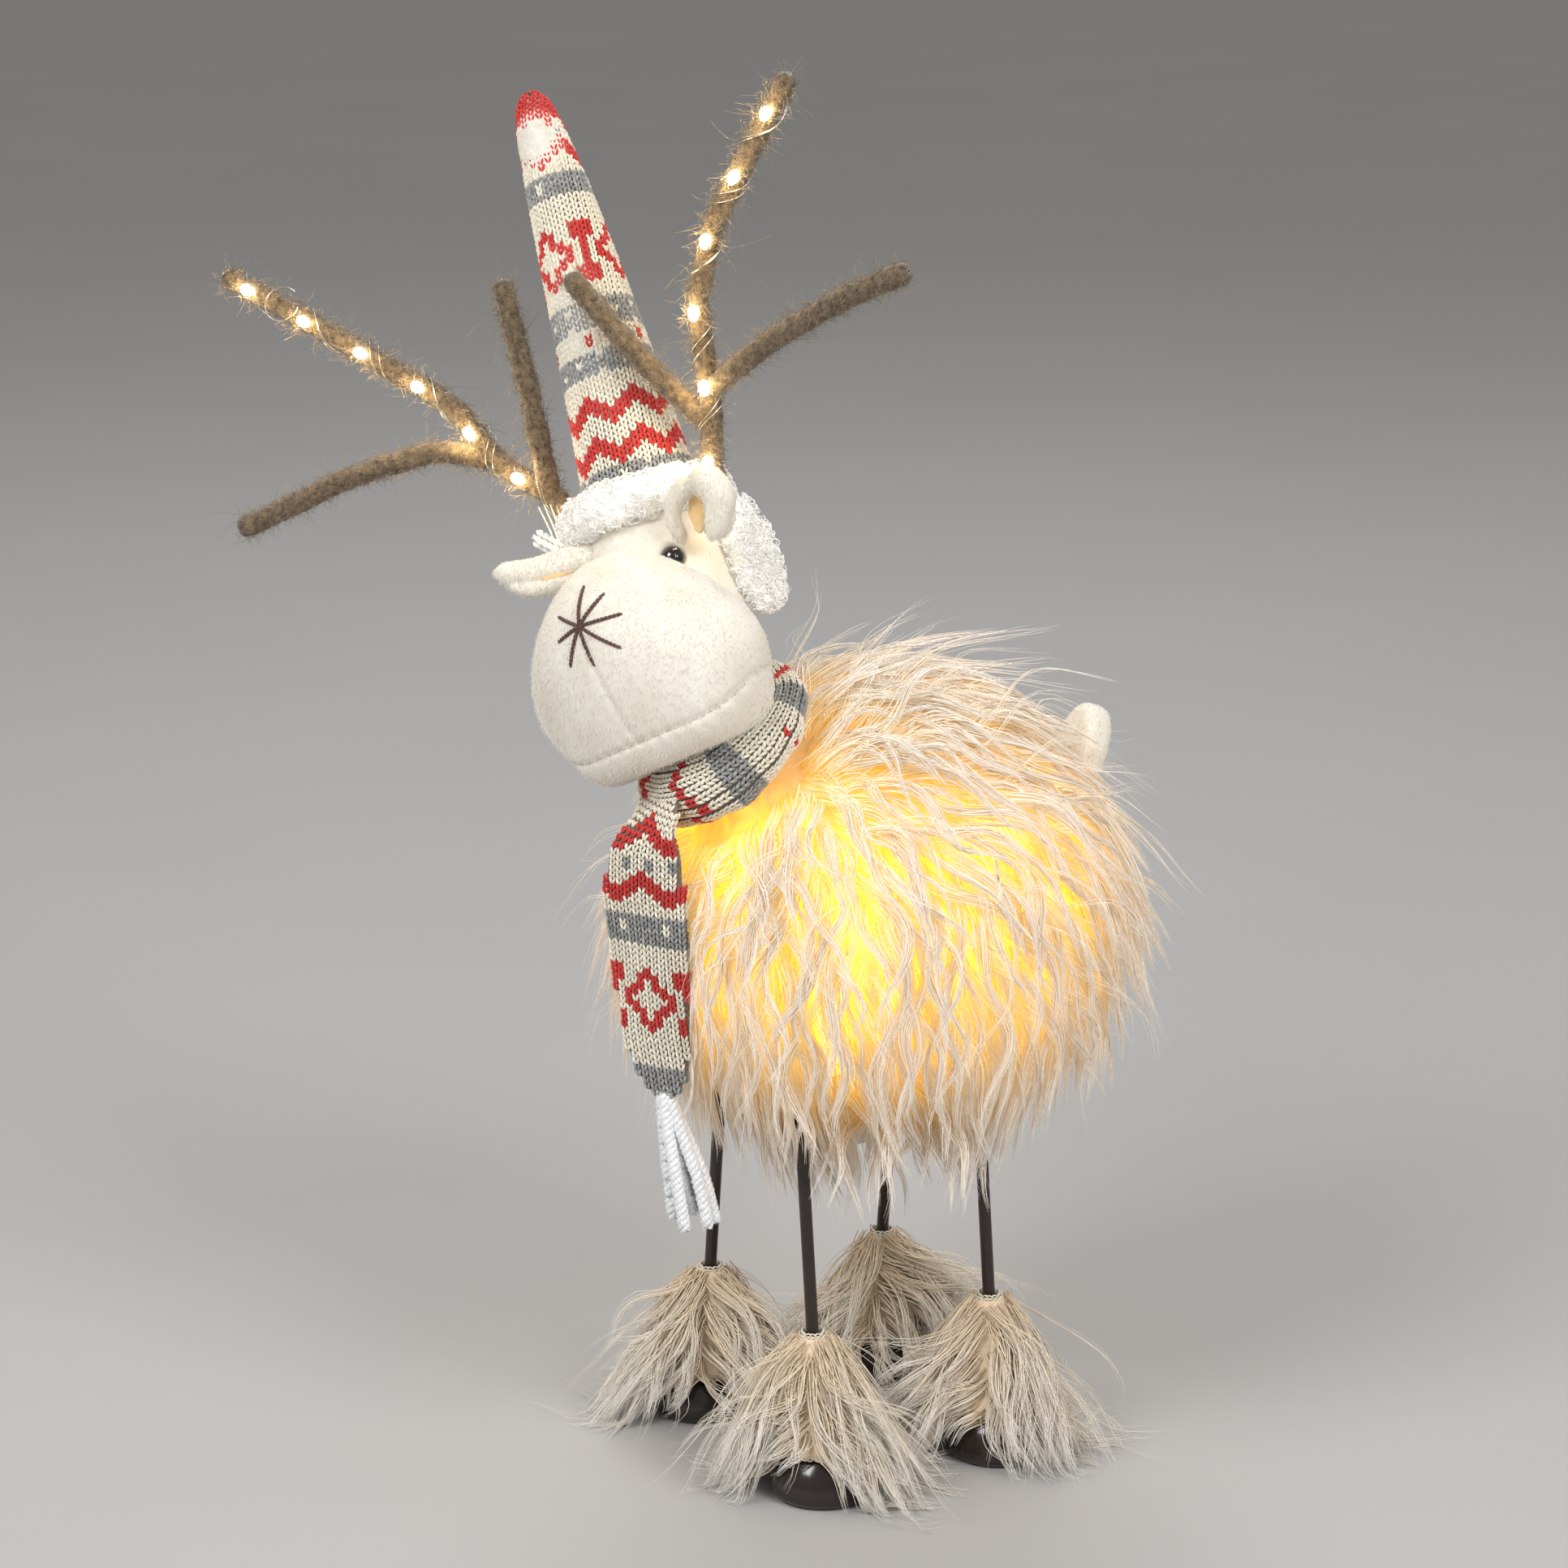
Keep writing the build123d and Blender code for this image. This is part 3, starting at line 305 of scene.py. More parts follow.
def bulb_material(name, strength):
    """A lit resin drop: warm white with a yellower skin."""
    material, tree, principled = shader(name, Roughness=0.15, Coat_Weight=0.6)
    where = coordinates(tree)
    lit = noise_stops(tree, where, 500, [(0.3, (1.0, 0.72, 0.30)), (0.65, (1.0, 0.86, 0.56))])
    tree.links.new(lit, principled.inputs["Emission Color"])
    tree.links.new(lit, principled.inputs["Base Color"])
    principled.inputs["Emission Strength"].default_value = strength
    return material


lit_pelt = glow_material()
lit_bulb = bulb_material("lit_bulb", 30.0)
inner_bulb = bulb_material("body_bulb", 3.0)

NODE_MATERIALS = {
    "hoof_gloss": gloss_brown, "leg_rod": rod_paint, "cuff_fur": wadding, "trim_braid": cream_yarn,
    "iron": iron, "felt": felt, "box_plastic": white_plastic, "switch_plastic": black_plastic,
    "cell_jacket": cell_jacket, "steel": steel, "board": board_green, "hoop_wire": steel,
    "lining": wadding, "body_fur": lit_pelt,
    "light_wire": clear_lead, "bulb": inner_bulb, "plush": plush, "nose_thread": brown_thread,
    "eye_bead": bead_black, "eye_washer": white_plastic, "knit": cream_yarn, "yarn": white_yarn,
    "sherpa": sherpa, "wadding": wadding, "antler_wool": wool,
}
for row in frame["record"]["subparts"]:
    shown = frame["nodes"][row["node"]]
    shown.data.materials.clear()
    shown.data.materials.append(NODE_MATERIALS[row["material_slot"]])


# ---------------------------------------------------------------- mesh helpers
def make_mesh(name, points, faces, materials, indices=None, uvs=None):
    """A mesh object from points in row-frame millimetres, and a face array or a list of them, each with faces
    of as many corners. indices are the faces' materials."""
    blocks = [np.asarray(block, np.int32) for block in (faces if isinstance(faces, list) else [faces])]
    loops = np.concatenate([block.ravel() for block in blocks])
    totals = np.concatenate([np.full(len(block), block.shape[1]) for block in blocks]).astype(np.int32)
    mesh = bpy.data.meshes.new(name)
    mesh.vertices.add(len(points))
    mesh.vertices.foreach_set("co", (np.asarray(points, float) * MM).astype(np.float32).ravel())
    mesh.loops.add(len(loops))
    mesh.loops.foreach_set("vertex_index", loops)
    mesh.polygons.add(len(totals))
    mesh.polygons.foreach_set("loop_start", np.concatenate(([0], np.cumsum(totals)[:-1])).astype(np.int32))
    mesh.polygons.foreach_set("loop_total", totals)
    if indices is not None:
        mesh.polygons.foreach_set("material_index", np.asarray(indices, np.int32))
    mesh.polygons.foreach_set("use_smooth", np.full(len(totals), True))
    if uvs is not None:
        layer = mesh.uv_layers.new(name="OFBake")
        layer.data.foreach_set("uv", np.asarray(uvs, np.float32).ravel())
    mesh.update()
    mesh.validate()
    for material in materials:
        mesh.materials.append(material)
    made = bpy.data.objects.new(name, mesh)
    bpy.context.scene.collection.objects.link(made)
    return made


def place(piece, body, slot, *nodes):
    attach(piece, body)
    if nodes:
        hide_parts(*nodes)
    return piece


def points_of(made):
    """A mesh object's points, in row-frame millimetres."""
    flat = np.empty(len(made.data.vertices) * 3, np.float32)
    made.data.vertices.foreach_get("co", flat)
    return flat.reshape(-1, 3).astype(float) / MM


def set_points(made, points):
    made.data.vertices.foreach_set("co", (np.asarray(points) * MM).astype(np.float32).ravel())
    made.data.update()


def grid_faces(rows, columns, closed=True):
    """Quads of a grid of points whose columns close into a ring."""
    steps_across = columns if closed else columns - 1
    row, column = np.meshgrid(np.arange(rows - 1), np.arange(steps_across), indexing="ij")
    row, column = row.ravel(), column.ravel()
    after = (column + 1) % columns
    return np.stack((row * columns + column, row * columns + after,
                     (row + 1) * columns + after, (row + 1) * columns + column), axis=1)


def shell_faces(rows, columns):
    """The faces of a closed double wall: rows of its outer side, then as many of its inner side."""
    closing = grid_faces(2, columns)
    closing = np.where(closing >= columns, closing - columns, closing + (2 * rows - 1) * columns)
    return np.vstack((grid_faces(2 * rows, columns), closing))


def frames_along(path, reference):
    """Two unit vectors across each point of an (N, K, 3) bundle of paths."""
    ahead = np.gradient(path, axis=1)
    ahead = unit(ahead)
    first = unit(np.cross(ahead, reference[:, None, :]))
    return first, np.cross(ahead, first)


UV_TINTS = 48


def tube_arrays(paths, radii, sides=3, share=None):
    """Closed thin tubes round (N, K, 3) paths, with UVs that run along them. U is a tint of its own for each
    tube, or follows share (0 to 1) where that is given."""
    count, steps, _ = paths.shape
    first, second = frames_along(paths, unit(rng.normal(size=(count, 3))))
    angle = np.arange(sides) * TAU / sides
    ring = (first[:, :, None, :] * np.cos(angle)[None, None, :, None]
            + second[:, :, None, :] * np.sin(angle)[None, None, :, None])
    points = (paths[:, :, None, :] + ring * radii[:, :, None, None]).reshape(-1, 3)
    quads = grid_faces(steps, sides)
    per_tube = steps * sides
    faces = (quads[None] + (np.arange(count) * per_tube)[:, None, None]).reshape(-1, 4)
    tint = rng.integers(0, UV_TINTS, count)
    if share is not None:
        tint = np.clip(np.rint(share * (UV_TINTS - 1)) + rng.integers(-2, 3, count), 0, UV_TINTS - 1)
    tint = tint / UV_TINTS
    along = quads // sides / (steps - 1)
    column = quads % sides
    u = tint[:, None, None] + 0.004 + column[None] * 0.006
    v = np.broadcast_to(0.01 + 0.98 * along[None], u.shape)
    return points, faces, np.stack((u, v), axis=-1).reshape(-1, 2)


def hair_piece(name, bundles, material, sides=3):
    """One mesh from several (paths, radii) bundles, or (paths, radii, share) where U carries a share."""
    all_points, all_faces, all_uvs, start = [], [], [], 0
    for paths, radii, *share in bundles:
        points, faces, uvs = tube_arrays(paths, radii, sides, *share)
        all_points.append(points)
        all_faces.append(faces + start)
        all_uvs.append(uvs)
        start += len(points)
    return make_mesh(name, np.vstack(all_points), np.vstack(all_faces), [material], uvs=np.vstack(all_uvs))


def taper(count, steps, thick, tip=0.12, spread=0.25):
    """Radii that narrow to a point."""
    s = np.linspace(0, 1, steps)
    profile = (1 - s ** 2.2) * (1 - tip) + tip
    return thick * profile[None, :] * rng.uniform(1 - spread, 1 + spread, (count, 1))


def wander(points, scale, seed):
    """A smooth vector field, for swirls that neighbours share."""
    local = np.random.default_rng(seed)
    total = np.zeros_like(points)
    for _ in range(5):
        wave = local.normal(size=(3, 3)) / scale
        total += np.sin(points @ wave + local.uniform(0, TAU, 3)) * local.uniform(0.4, 1.0)
    return total / 2.2


FLOOR_GAP = 0.8


def combed(roots, normals, flow, length, lift, weight, wave, rate, steps, core=None, settle=0.0, flick=0.0):
    """Centre lines of locks that rise along their normals, bend into the flow and sink by their weight.
    core is (centre, radius) of a ball that they lie on."""
    position, direction = roots.copy(), unit(normals * lift[:, None] + flow)
    phase = wander(roots, 22.0, 29)[:, 0] * 3.0 + rng.uniform(0, 2.4, len(roots))
    path = [position.copy()]
    step = (length / (steps - 1))[:, None]
    down = np.array((0.0, 0.0, -1.0))
    for k in range(1, steps):
        share = k / (steps - 1)
        out = unit(position - core[0]) if core else normals
        across = unit(np.cross(out, direction))
        sway = across * (wave * np.sin(phase + rate * k))[:, None]
        direction = unit(direction + flow * 0.22 + down * weight * (0.3 + share) + sway
                         + out * (flick * share * share - settle))
        position = position + direction * step
        if core:
            reach = np.linalg.norm(position - core[0], axis=1)
            low = reach < core[1] + 1.0 + 3.0 * share
            position[low] = core[0] + unit(position[low] - core[0]) * (core[1] + 1.0 + 3.0 * share)
        under = position[:, 2] < FLOOR_GAP
        position[under, 2] = FLOOR_GAP + rng.uniform(0, 1.5, under.sum())
        direction[under, 2] = np.abs(direction[under, 2]) * 0.1
        path.append(position.copy())
    return np.stack(path, axis=1)


def hairs_of(locks, per_lock, spread, gather, jitter):
    """Single hairs round each lock's centre line, gathered towards its tip."""
    count, steps, _ = locks.shape
    centre = np.repeat(locks, per_lock, axis=0)
    total = count * per_lock
    reach = rng.uniform(0.72, 1.0, total) * (steps - 1)
    place_at = np.linspace(0, 1, steps)[None, :] * reach[:, None]
    low = np.minimum(place_at.astype(int), steps - 2)
    part = (place_at - low)[:, :, None]
    row = np.arange(total)[:, None]
    centre = centre[row, low] * (1 - part) + centre[row, low + 1] * part
    first, second = frames_along(centre, unit(rng.normal(size=(total, 3))))
    s = np.linspace(0, 1, steps)[None, :, None]
    off = rng.normal(size=(total, 1, 2)) * spread
    own = rng.normal(size=(total, 1, 2)) * jitter
    close = 1 - gather * s
    bend = np.sin(s * rng.uniform(2, 7, (total, 1, 1)) + rng.uniform(0, TAU, (total, 1, 1))) * s
    shift = off * close + own * bend
    return centre + first * shift[:, :, :1] + second * shift[:, :, 1:]


def ball_directions(count):
    """Evenly spread unit vectors, with a little disorder."""
    i = np.arange(count) + 0.5
    z = 1 - 2 * i / count
    angle = i * math.pi * (3 - math.sqrt(5))
    ring = np.sqrt(1 - z * z)
    even = np.column_stack((ring * np.cos(angle), ring * np.sin(angle), z))
    return unit(even + rng.normal(size=even.shape) * 0.35 / math.sqrt(count))


SCARF_TOP, SCARF_LOW = 357.0, 206.0
scarf_middle = np.array((13.5, -121.5, 0.0))
scarf_across = np.array((math.cos(math.radians(30)), math.sin(math.radians(30)), 0.0))
scarf_out = np.cross(scarf_across, (0, 0, 1.0))

# ---------------------------------------------------------------- body: lit pelt and long hair
PELT = 107.0
HATCH_LOW, HATCH_HIGH = np.array((-35.5, -34.0)), np.array((35.5, 62.0))
FEET = [(side * 61.4, end * 51.4) for side in (1, -1) for end in (1, -1)]
LEG_SPLAY = math.radians(6.5)


def leg_at(foot, height):
    """Where a leg's axis is at a height."""
    side = math.copysign(1, foot[0])
    return np.array((foot[0] - side * math.tan(LEG_SPLAY) * height, foot[1], height))


def in_opening(points, margin=0.0):
    """True where the pelt is open: battery hatch, legs and neck."""
    flat = points[:, :2]
    hatch = np.all((flat > HATCH_LOW - margin) & (flat < HATCH_HIGH + margin), axis=1)
    hatch &= points[:, 2] < BALL[2]
    for foot in FEET:
        gone = np.hypot(*(flat - leg_at(foot, 190)[:2]).T) < 5 + margin
        hatch |= gone & (points[:, 2] < BALL[2])
    from_axis = points - BALL
    along = from_axis @ NECK_AXIS
    neck = (np.linalg.norm(from_axis - along[:, None] * NECK_AXIS, axis=1) < 16 + margin) & (along > 0)
    return hatch | neck


def ball_shell(name, radius, thickness, material, ripple):
    """A thin closed shell round the ball's centre, with the openings cut through it."""
    rows, columns = 150, 240
    polar, around = np.meshgrid(np.linspace(0.01, math.pi - 0.01, rows), np.arange(columns) * TAU / columns,
                                indexing="ij")
    out = np.stack((np.sin(polar) * np.cos(around), np.sin(polar) * np.sin(around), np.cos(polar)), -1)
    out = out.reshape(-1, 3)
    outer = BALL + out * (radius + ripple * wander(out * radius, 9.0, 3)[:, :1])
    inner = BALL + out * (radius - thickness)
    faces = grid_faces(rows, columns)
    kept = faces[~in_opening(BALL + unit(out[faces].mean(axis=1)) * radius)]
    edges = np.concatenate([kept[:, [a, b]] for a, b in ((0, 1), (1, 2), (2, 3), (3, 0))])
    known = {(a, b) for a, b in edges.tolist()}
    rim = np.array([e for e in known if (e[1], e[0]) not in known])
    shift = len(out)
    walls = np.column_stack((rim[:, 1], rim[:, 0], rim[:, 0] + shift, rim[:, 1] + shift))
    points = np.vstack((outer, inner))
    all_faces = np.vstack((kept[:, ::-1], kept + shift, walls[:, ::-1]))
    used, renumbered = np.unique(all_faces, return_inverse=True)
    return make_mesh(name, points[used], renumbered.reshape(all_faces.shape), [material])


place(ball_shell("body_pelt", PELT, 2.5, lit_pelt, 0.8), "root", "body_fur", "fur_body")

NECK_CLEAR = 36.0
HAIR_STEPS = 12


def body_locks(count, length, lift, wave, rate, weight=0.16, flick=0.0, reach=400.0):
    """Centre lines of locks all over the ball, or only within reach of the neck's axis."""
    out = ball_directions(count)
    roots = BALL + out * (PELT - 0.5)
    off_neck = np.linalg.norm(np.cross(roots - BALL, NECK_AXIS), axis=1)
    front = (roots - BALL) @ NECK_AXIS > 0
    kept = ~(in_opening(roots, 1.5) | (front & (off_neck < NECK_CLEAR)))
    if reach < 400:
        kept &= front & (off_neck < reach)
    out, roots = out[kept], roots[kept]
    calm = 0.7 * smooth_step((roots @ NECK_AXIS - BALL @ NECK_AXIS) / 70)
    swirl = wander(roots, 30.0, 11) * (1 - calm)[:, None]
    back = np.array((0.05, 0.62, 0.12)) * smooth_step((out[:, 2:] - 0.1) / 0.6)
    flow = np.array((0.0, 0.0, -0.75)) + back + swirl * 0.6
    flow = unit(flow - out * np.sum(flow * out, axis=1, keepdims=True))
    n = len(roots)
    below = smooth_step((0.1 - out[:, 2]) / 0.6)
    lengths = rng.uniform(*length, n) * (1 - 0.22 * below)
    lifts = rng.uniform(*lift, n) * (1 - 0.4 * below)
    waves = rng.uniform(*wave, n) * (1 - 0.45 * below)
    return combed(roots, out, flow, lengths, lifts, (weight + 0.20 * below)[:, None], waves,
                  rng.uniform(*rate, n), HAIR_STEPS, core=(BALL, PELT), settle=0.04 * (1 - below)[:, None],
                  flick=flick)


def under_scarf(path):
    """Presses hair that would stand through the hanging end of the scarf in behind it."""
    offset = path - scarf_middle
    across, out = offset @ scarf_across, offset @ scarf_out
    level = (path[..., 2] > SCARF_LOW - 6) * (path[..., 2] < SCARF_TOP)
    share = smooth_step((27 - np.abs(across)) / 6) * level
    push = np.maximum(out + 4.5, 0) * share
    return path - scarf_out * push[..., None]


COVER_PATH_HALF, COVER_PATH_FRONT, COVER_PATH_REAR = 33.0, 40.0, 75.0


def behind_cover(path):
    """Hangs the hair at the rear of the belly behind the way that the battery cover slides."""
    aside = smooth_step((COVER_PATH_HALF + 4 - np.abs(path[..., 0])) / 4)
    level = smooth_step((196 - path[..., 2]) / 16) * aside
    inside = (path[..., 1] > COVER_PATH_FRONT) & (path[..., 1] < COVER_PATH_REAR)
    rear = COVER_PATH_REAR + rng.uniform(0.5, 8.0, (len(path), 1))
    moved = path.copy()
    moved[..., 1] += np.where(inside, np.maximum(rear - path[..., 1], 0) * level, 0)
    return moved


def kept_in(path):
    """Draws in the hair that would reach far beyond the ball and the feet, and keeps it on the floor."""
    path = path.copy()
    for axis, start, room in ((0, 122.0, 15.5), (1, 150.0, 19.0)):
        far = np.maximum(path[..., axis] - start, 0)
        path[..., axis] = np.minimum(path[..., axis], start) + room * np.tanh(far / room)
    path[..., 2] = np.maximum(path[..., 2], 0.6)
    return path


def lit_share(hairs):
    """How much of the light inside reaches each hair: most round the middle of the ball, little below and
    on top."""
    level = hairs[:, 0, 2]
    return (0.22 + 0.78 * smooth_step((level - 195) / 60)) * (1 - 0.6 * smooth_step((level - 335) / 40))


UNDERCOAT = dict(length=(26, 42), lift=(0.4, 0.9), wave=(0.1, 0.3), rate=(0.5, 0.8))
LONG_COAT = dict(length=(66, 108), lift=(0.6, 1.2), wave=(0.22, 0.55), rate=(0.5, 0.85))
LOOSE_COAT = dict(length=(60, 98), lift=(0.9, 1.8), wave=(0.22, 0.60), rate=(0.5, 0.9), flick=0.12,
                  weight=0.10)
WISPS = dict(length=(66, 108), lift=(1.2, 3.0), wave=(0.2, 0.6), rate=(0.4, 0.8), flick=0.18, weight=0.06)
MIDDLE_COAT = dict(length=(50, 78), lift=(0.8, 2.2), wave=(0.2, 0.5), rate=(0.5, 0.8), flick=0.06,
                   weight=0.12, reach=72.0)

bundles = []
for count, per_lock, spread, gather, jitter, thick, choices in (
        (1100, 6, 2.5, 0.45, 1.0, 0.36, UNDERCOAT),
        (620, 18, 2.6, 0.88, 0.6, 0.38, LONG_COAT),
        (400, 14, 2.0, 0.90, 0.6, 0.36, LOOSE_COAT),
        (400, 4, 1.5, 0.60, 1.6, 0.22, WISPS),
        (1500, 13, 2.2, 0.80, 0.9, 0.34, MIDDLE_COAT)):
    hairs = hairs_of(body_locks(count, **choices), per_lock, spread, gather, jitter)
    hairs = kept_in(behind_cover(under_scarf(hairs)))
    bundles.append((hairs, taper(len(hairs), HAIR_STEPS, thick), lit_share(hairs)))
body_fur = hair_piece("body_fur", bundles, body_hair)
place(body_fur, "root", "body_fur")

# ---------------------------------------------------------------- fur cuffs on the four feet
CUFF_STEPS = 11
CUFF_LOW, CUFF_HIGH = 26.0, 80.0
PARTING = math.radians(-38)


def cuff_radius(height):
    share = (CUFF_HIGH - height) / (CUFF_HIGH - CUFF_LOW)
    return 7.0 + 16.0 * share ** 0.85


def make_cuff(name, foot, seed):
    """A cone of fur fabric: a pelt and long hair combed down and out; the beaded cream braid at its top is
    made apart, below.
    """
    rows, columns = 22, 40
    heights = np.linspace(CUFF_LOW, CUFF_HIGH, rows)
    around = np.arange(columns) * TAU / columns
    out = np.column_stack((np.cos(around), np.sin(around), np.zeros(columns)))
    layers = []
    for inset, order in ((0.0, heights), (2.0, heights[::-1])):
        for height in order:
            layers.append(leg_at(foot, height) + out * (cuff_radius(height) - inset))
    points = np.array(layers).reshape(-1, 3)
    faces = shell_faces(rows, columns)
    tint = np.column_stack((faces.ravel() % columns / columns * 0.9 + 0.02, np.full(faces.size, 0.06)))

    count = 330
    height = CUFF_LOW + (CUFF_HIGH - CUFF_LOW) * rng.uniform(0, 1, count) ** 0.9
    angle = np.arange(count) * math.pi * (3 - math.sqrt(5)) + rng.uniform(-0.15, 0.15, count)
    parted = smooth_step((np.cos(angle - PARTING) - 0.45) / 0.45)
    aside = np.sign(np.sin(angle - PARTING)) * parted * 0.75
    normals = np.column_stack((np.cos(angle), np.sin(angle), np.full(count, 0.28)))
    roots = np.array([leg_at(foot, h) for h in height])
    roots[:, :2] += normals[:, :2] * (cuff_radius(height) - 0.4)[:, None]
    normals = unit(normals)
    spread = rng.uniform(0.26, 0.56, count)
    flow = np.column_stack((np.cos(angle) * spread - np.sin(angle) * aside,
                            np.sin(angle) * spread + np.cos(angle) * aside, np.full(count, -1.0)))
    flow = unit(flow + wander(roots, 24.0, seed) * 0.22)
    lengths = rng.uniform(46, 90, count) * (1 - 0.6 * parted * smooth_step((62 - height) / 30))
    locks = combed(roots, normals, flow, lengths, rng.uniform(0.2, 0.8, count), 0.06,
                   rng.uniform(0.10, 0.40, count), rng.uniform(0.40, 0.75, count), CUFF_STEPS)
    hairs = kept_in(hairs_of(locks, 11, 1.9, 0.55, 0.8))
    loose = np.arange(0, count, 5)
    same = np.ones(len(loose))
    stray = combed(roots[loose], normals[loose], flow[loose], lengths[loose] * 1.3, same * 1.3, 0.07,
                   same * 0.4, same * 0.5, CUFF_STEPS, flick=0.1)
    stray = kept_in(hairs_of(stray, 4, 1.3, 0.4, 2.0))
    hair = hair_piece(f"cuff_fur_{name}", [(hairs, taper(len(hairs), CUFF_STEPS, 0.34)),
                                           (stray, taper(len(stray), CUFF_STEPS, 0.2))], cuff_hair)
    place(hair, "root", "cuff_fur")
    backing = make_mesh(f"cuff_pelt_{name}", points, faces, [cuff_hair], uvs=tint)
    place(backing, "root", "cuff_fur", f"cuff_{name}")
    return backing


for number, (name, foot) in enumerate((("front_left", FEET[1]), ("front_right", FEET[3]),
                                       ("rear_left", FEET[0]), ("rear_right", FEET[2]))):
    make_cuff(name, foot, 40 + number)


def ring_path(centre, across, up, radius, steps):
    angle = np.arange(steps) * TAU / steps
    return centre + np.outer(np.cos(angle), across) * radius + np.outer(np.sin(angle), up) * radius


def loop_tube(points, thick, sides=6):
    """A closed tube round a ring of points."""
    ahead = unit(np.roll(points, -1, 0) - np.roll(points, 1, 0))
    reference = unit(points - points.mean(axis=0))
    first = unit(reference - ahead * np.sum(reference * ahead, axis=1, keepdims=True))
    second = np.cross(ahead, first)
    angle = np.arange(sides) * TAU / sides
    ring = (points[:, None] + thick * (first[:, None] * np.cos(angle)[None, :, None]
                                       + second[:, None] * np.sin(angle)[None, :, None]))
    steps = len(points)
    faces = grid_faces(steps + 1, sides) % (steps * sides)
    return ring.reshape(-1, 3), faces


def joined(parts):
    """Several (points, faces) as one."""
    points, faces, start = [], [], 0
    for p, f in parts:
        points.append(p)
        faces.append(f + start)
        start += len(p)
    return np.vstack(points), np.vstack(faces)


def braid(foot, height, radius, beads):
    """A braided edge: small loops of cord side by side round the leg."""
    middle = leg_at(foot, height)
    parts = []
    for k in range(beads):
        a = TAU * k / beads
        out = np.array((math.cos(a), math.sin(a), 0.0))
        across = np.array((-math.sin(a), math.cos(a), 0.0))
        lean = unit(np.array((0, 0, 1.0)) + across * 0.6 * (1 if k % 2 else -1) + out * 0.2)
        parts.append(loop_tube(ring_path(middle + out * radius, across, lean, 1.15, 10), 0.42))
    return parts


trim_parts = []
for foot in FEET:
    trim_parts += braid(foot, CUFF_HIGH, 6.4, 15)
    trim_parts += braid(foot, CUFF_HIGH + 1.4, 5.2, 13)
    trim_parts += braid(foot, CUFF_LOW - 0.6, cuff_radius(CUFF_LOW) - 0.6, 44)
trim = make_mesh("cuff_braids", *joined(trim_parts), [cream_yarn])
place(trim, "root", "trim_braid", "cuff_trims")


# ---------------------------------------------------------------- plush forms from their CAD solids
def evaluated(made):
    """Bakes an object's modifiers into its mesh."""
    graph = bpy.context.evaluated_depsgraph_get()
    mesh = bpy.data.meshes.new_from_object(made.evaluated_get(graph))
    made.modifiers.clear()
    made.data = mesh
    return made


def soft_form(name, points, faces, voxel, rounds, swell, material):
    """One soft closed form round overlapping solids, with its edges rounded."""
    made = make_mesh(name, points, faces, [])
    remesh = made.modifiers.new("remesh", "REMESH")
    remesh.mode, remesh.voxel_size = "VOXEL", voxel * MM
    relax = made.modifiers.new("relax", "SMOOTH")
    relax.iterations, relax.factor = rounds, 0.5
    evaluated(made)
    made.data.materials.clear()
    made.data.materials.append(material)
    set_points(made, points_of(made) + normals_of(made) * swell)
    made.data.polygons.foreach_set("use_smooth", np.full(len(made.data.polygons), True))
    return made


def normals_of(made):
    normals = np.empty(len(made.data.vertices) * 3, np.float32)
    made.data.vertices.foreach_get("normal", normals)
    return normals.reshape(-1, 3)


def stuffed(name, nodes, voxel, rounds, swell, material, body, slot):
    """One soft form over the CAD solids of these nodes."""
    points, faces, start = [], [], 0
    for n in nodes:
        mesh = frame["nodes"][n].data
        mesh.calc_loop_triangles()
        corners = np.empty(len(mesh.loop_triangles) * 3, np.int32)
        mesh.loop_triangles.foreach_get("vertices", corners)
        flat = np.empty(len(mesh.vertices) * 3, np.float32)
        mesh.vertices.foreach_get("co", flat)
        points.append(flat.reshape(-1, 3) / MM)
        faces.append(corners.reshape(-1, 3) + start)
        start += len(mesh.vertices)
    made = soft_form(name, np.vstack(points), np.vstack(faces), voxel, rounds, swell, material)
    place(made, body, slot, *nodes)
    return made


MOUTH = 17.0


def cheek_rise(x):
    """How much higher the mouth and the chin lie at the side of the head than in its middle."""
    depth = 32 * np.sqrt(np.maximum(1 - (np.asarray(x) / 60) ** 2, 0))
    return 10.0 * smooth_step((28 - depth) / 26)


muzzle = stuffed("muzzle_plush", ["muzzle", "chin"], 1.6, 14, 0.9, plush, "head", "plush")
local = to_head(points_of(muzzle))
outer_side = smooth_step((-local[:, 1] - 5) / 25.0)
fading = cheek_rise(local[:, 0]) * smooth_step((52 - local[:, 2]) / 40)
local[:, 2] += fading * smooth_step((-local[:, 1] - 2) / 22)
mouth = MOUTH + cheek_rise(local[:, 0])
mouth_dip = 1.4 * np.exp(-((local[:, 2] - mouth) / 1.3) ** 2) * np.clip(outer_side + 0.4, 0, 1)
below_nose = smooth_step((76 - local[:, 2]) / 6) * smooth_step((local[:, 2] - MOUTH + 2) / 3)
centre_dip = 1.1 * np.exp(-(local[:, 0] / 1.4) ** 2) * outer_side * below_nose
pucker = 0.3 * np.sin(local[:, 0] * 0.8) * np.exp(-((local[:, 2] - mouth) / 6) ** 2) * outer_side
dimples = 0.35 * wander(local, 11.0, 8)[:, 0]
inward = np.array((0.0, -22.0, 0.0)) - local
inward[:, 2] = 0
local += unit(inward) * (mouth_dip + centre_dip + pucker + dimples)[:, None]
set_points(muzzle, from_head(local))
skull = stuffed("skull_plush", ["skull"], 1.8, 10, 0.7, plush, "head", "plush")
tail_piece = stuffed("tail_plush", ["tail"], 1.2, 10, 1.2, plush, "root", "plush")

muzzle_tree = BVHTree.FromPolygons([tuple(p) for p in points_of(muzzle)],
                                   [tuple(p.vertices) for p in muzzle.data.polygons])


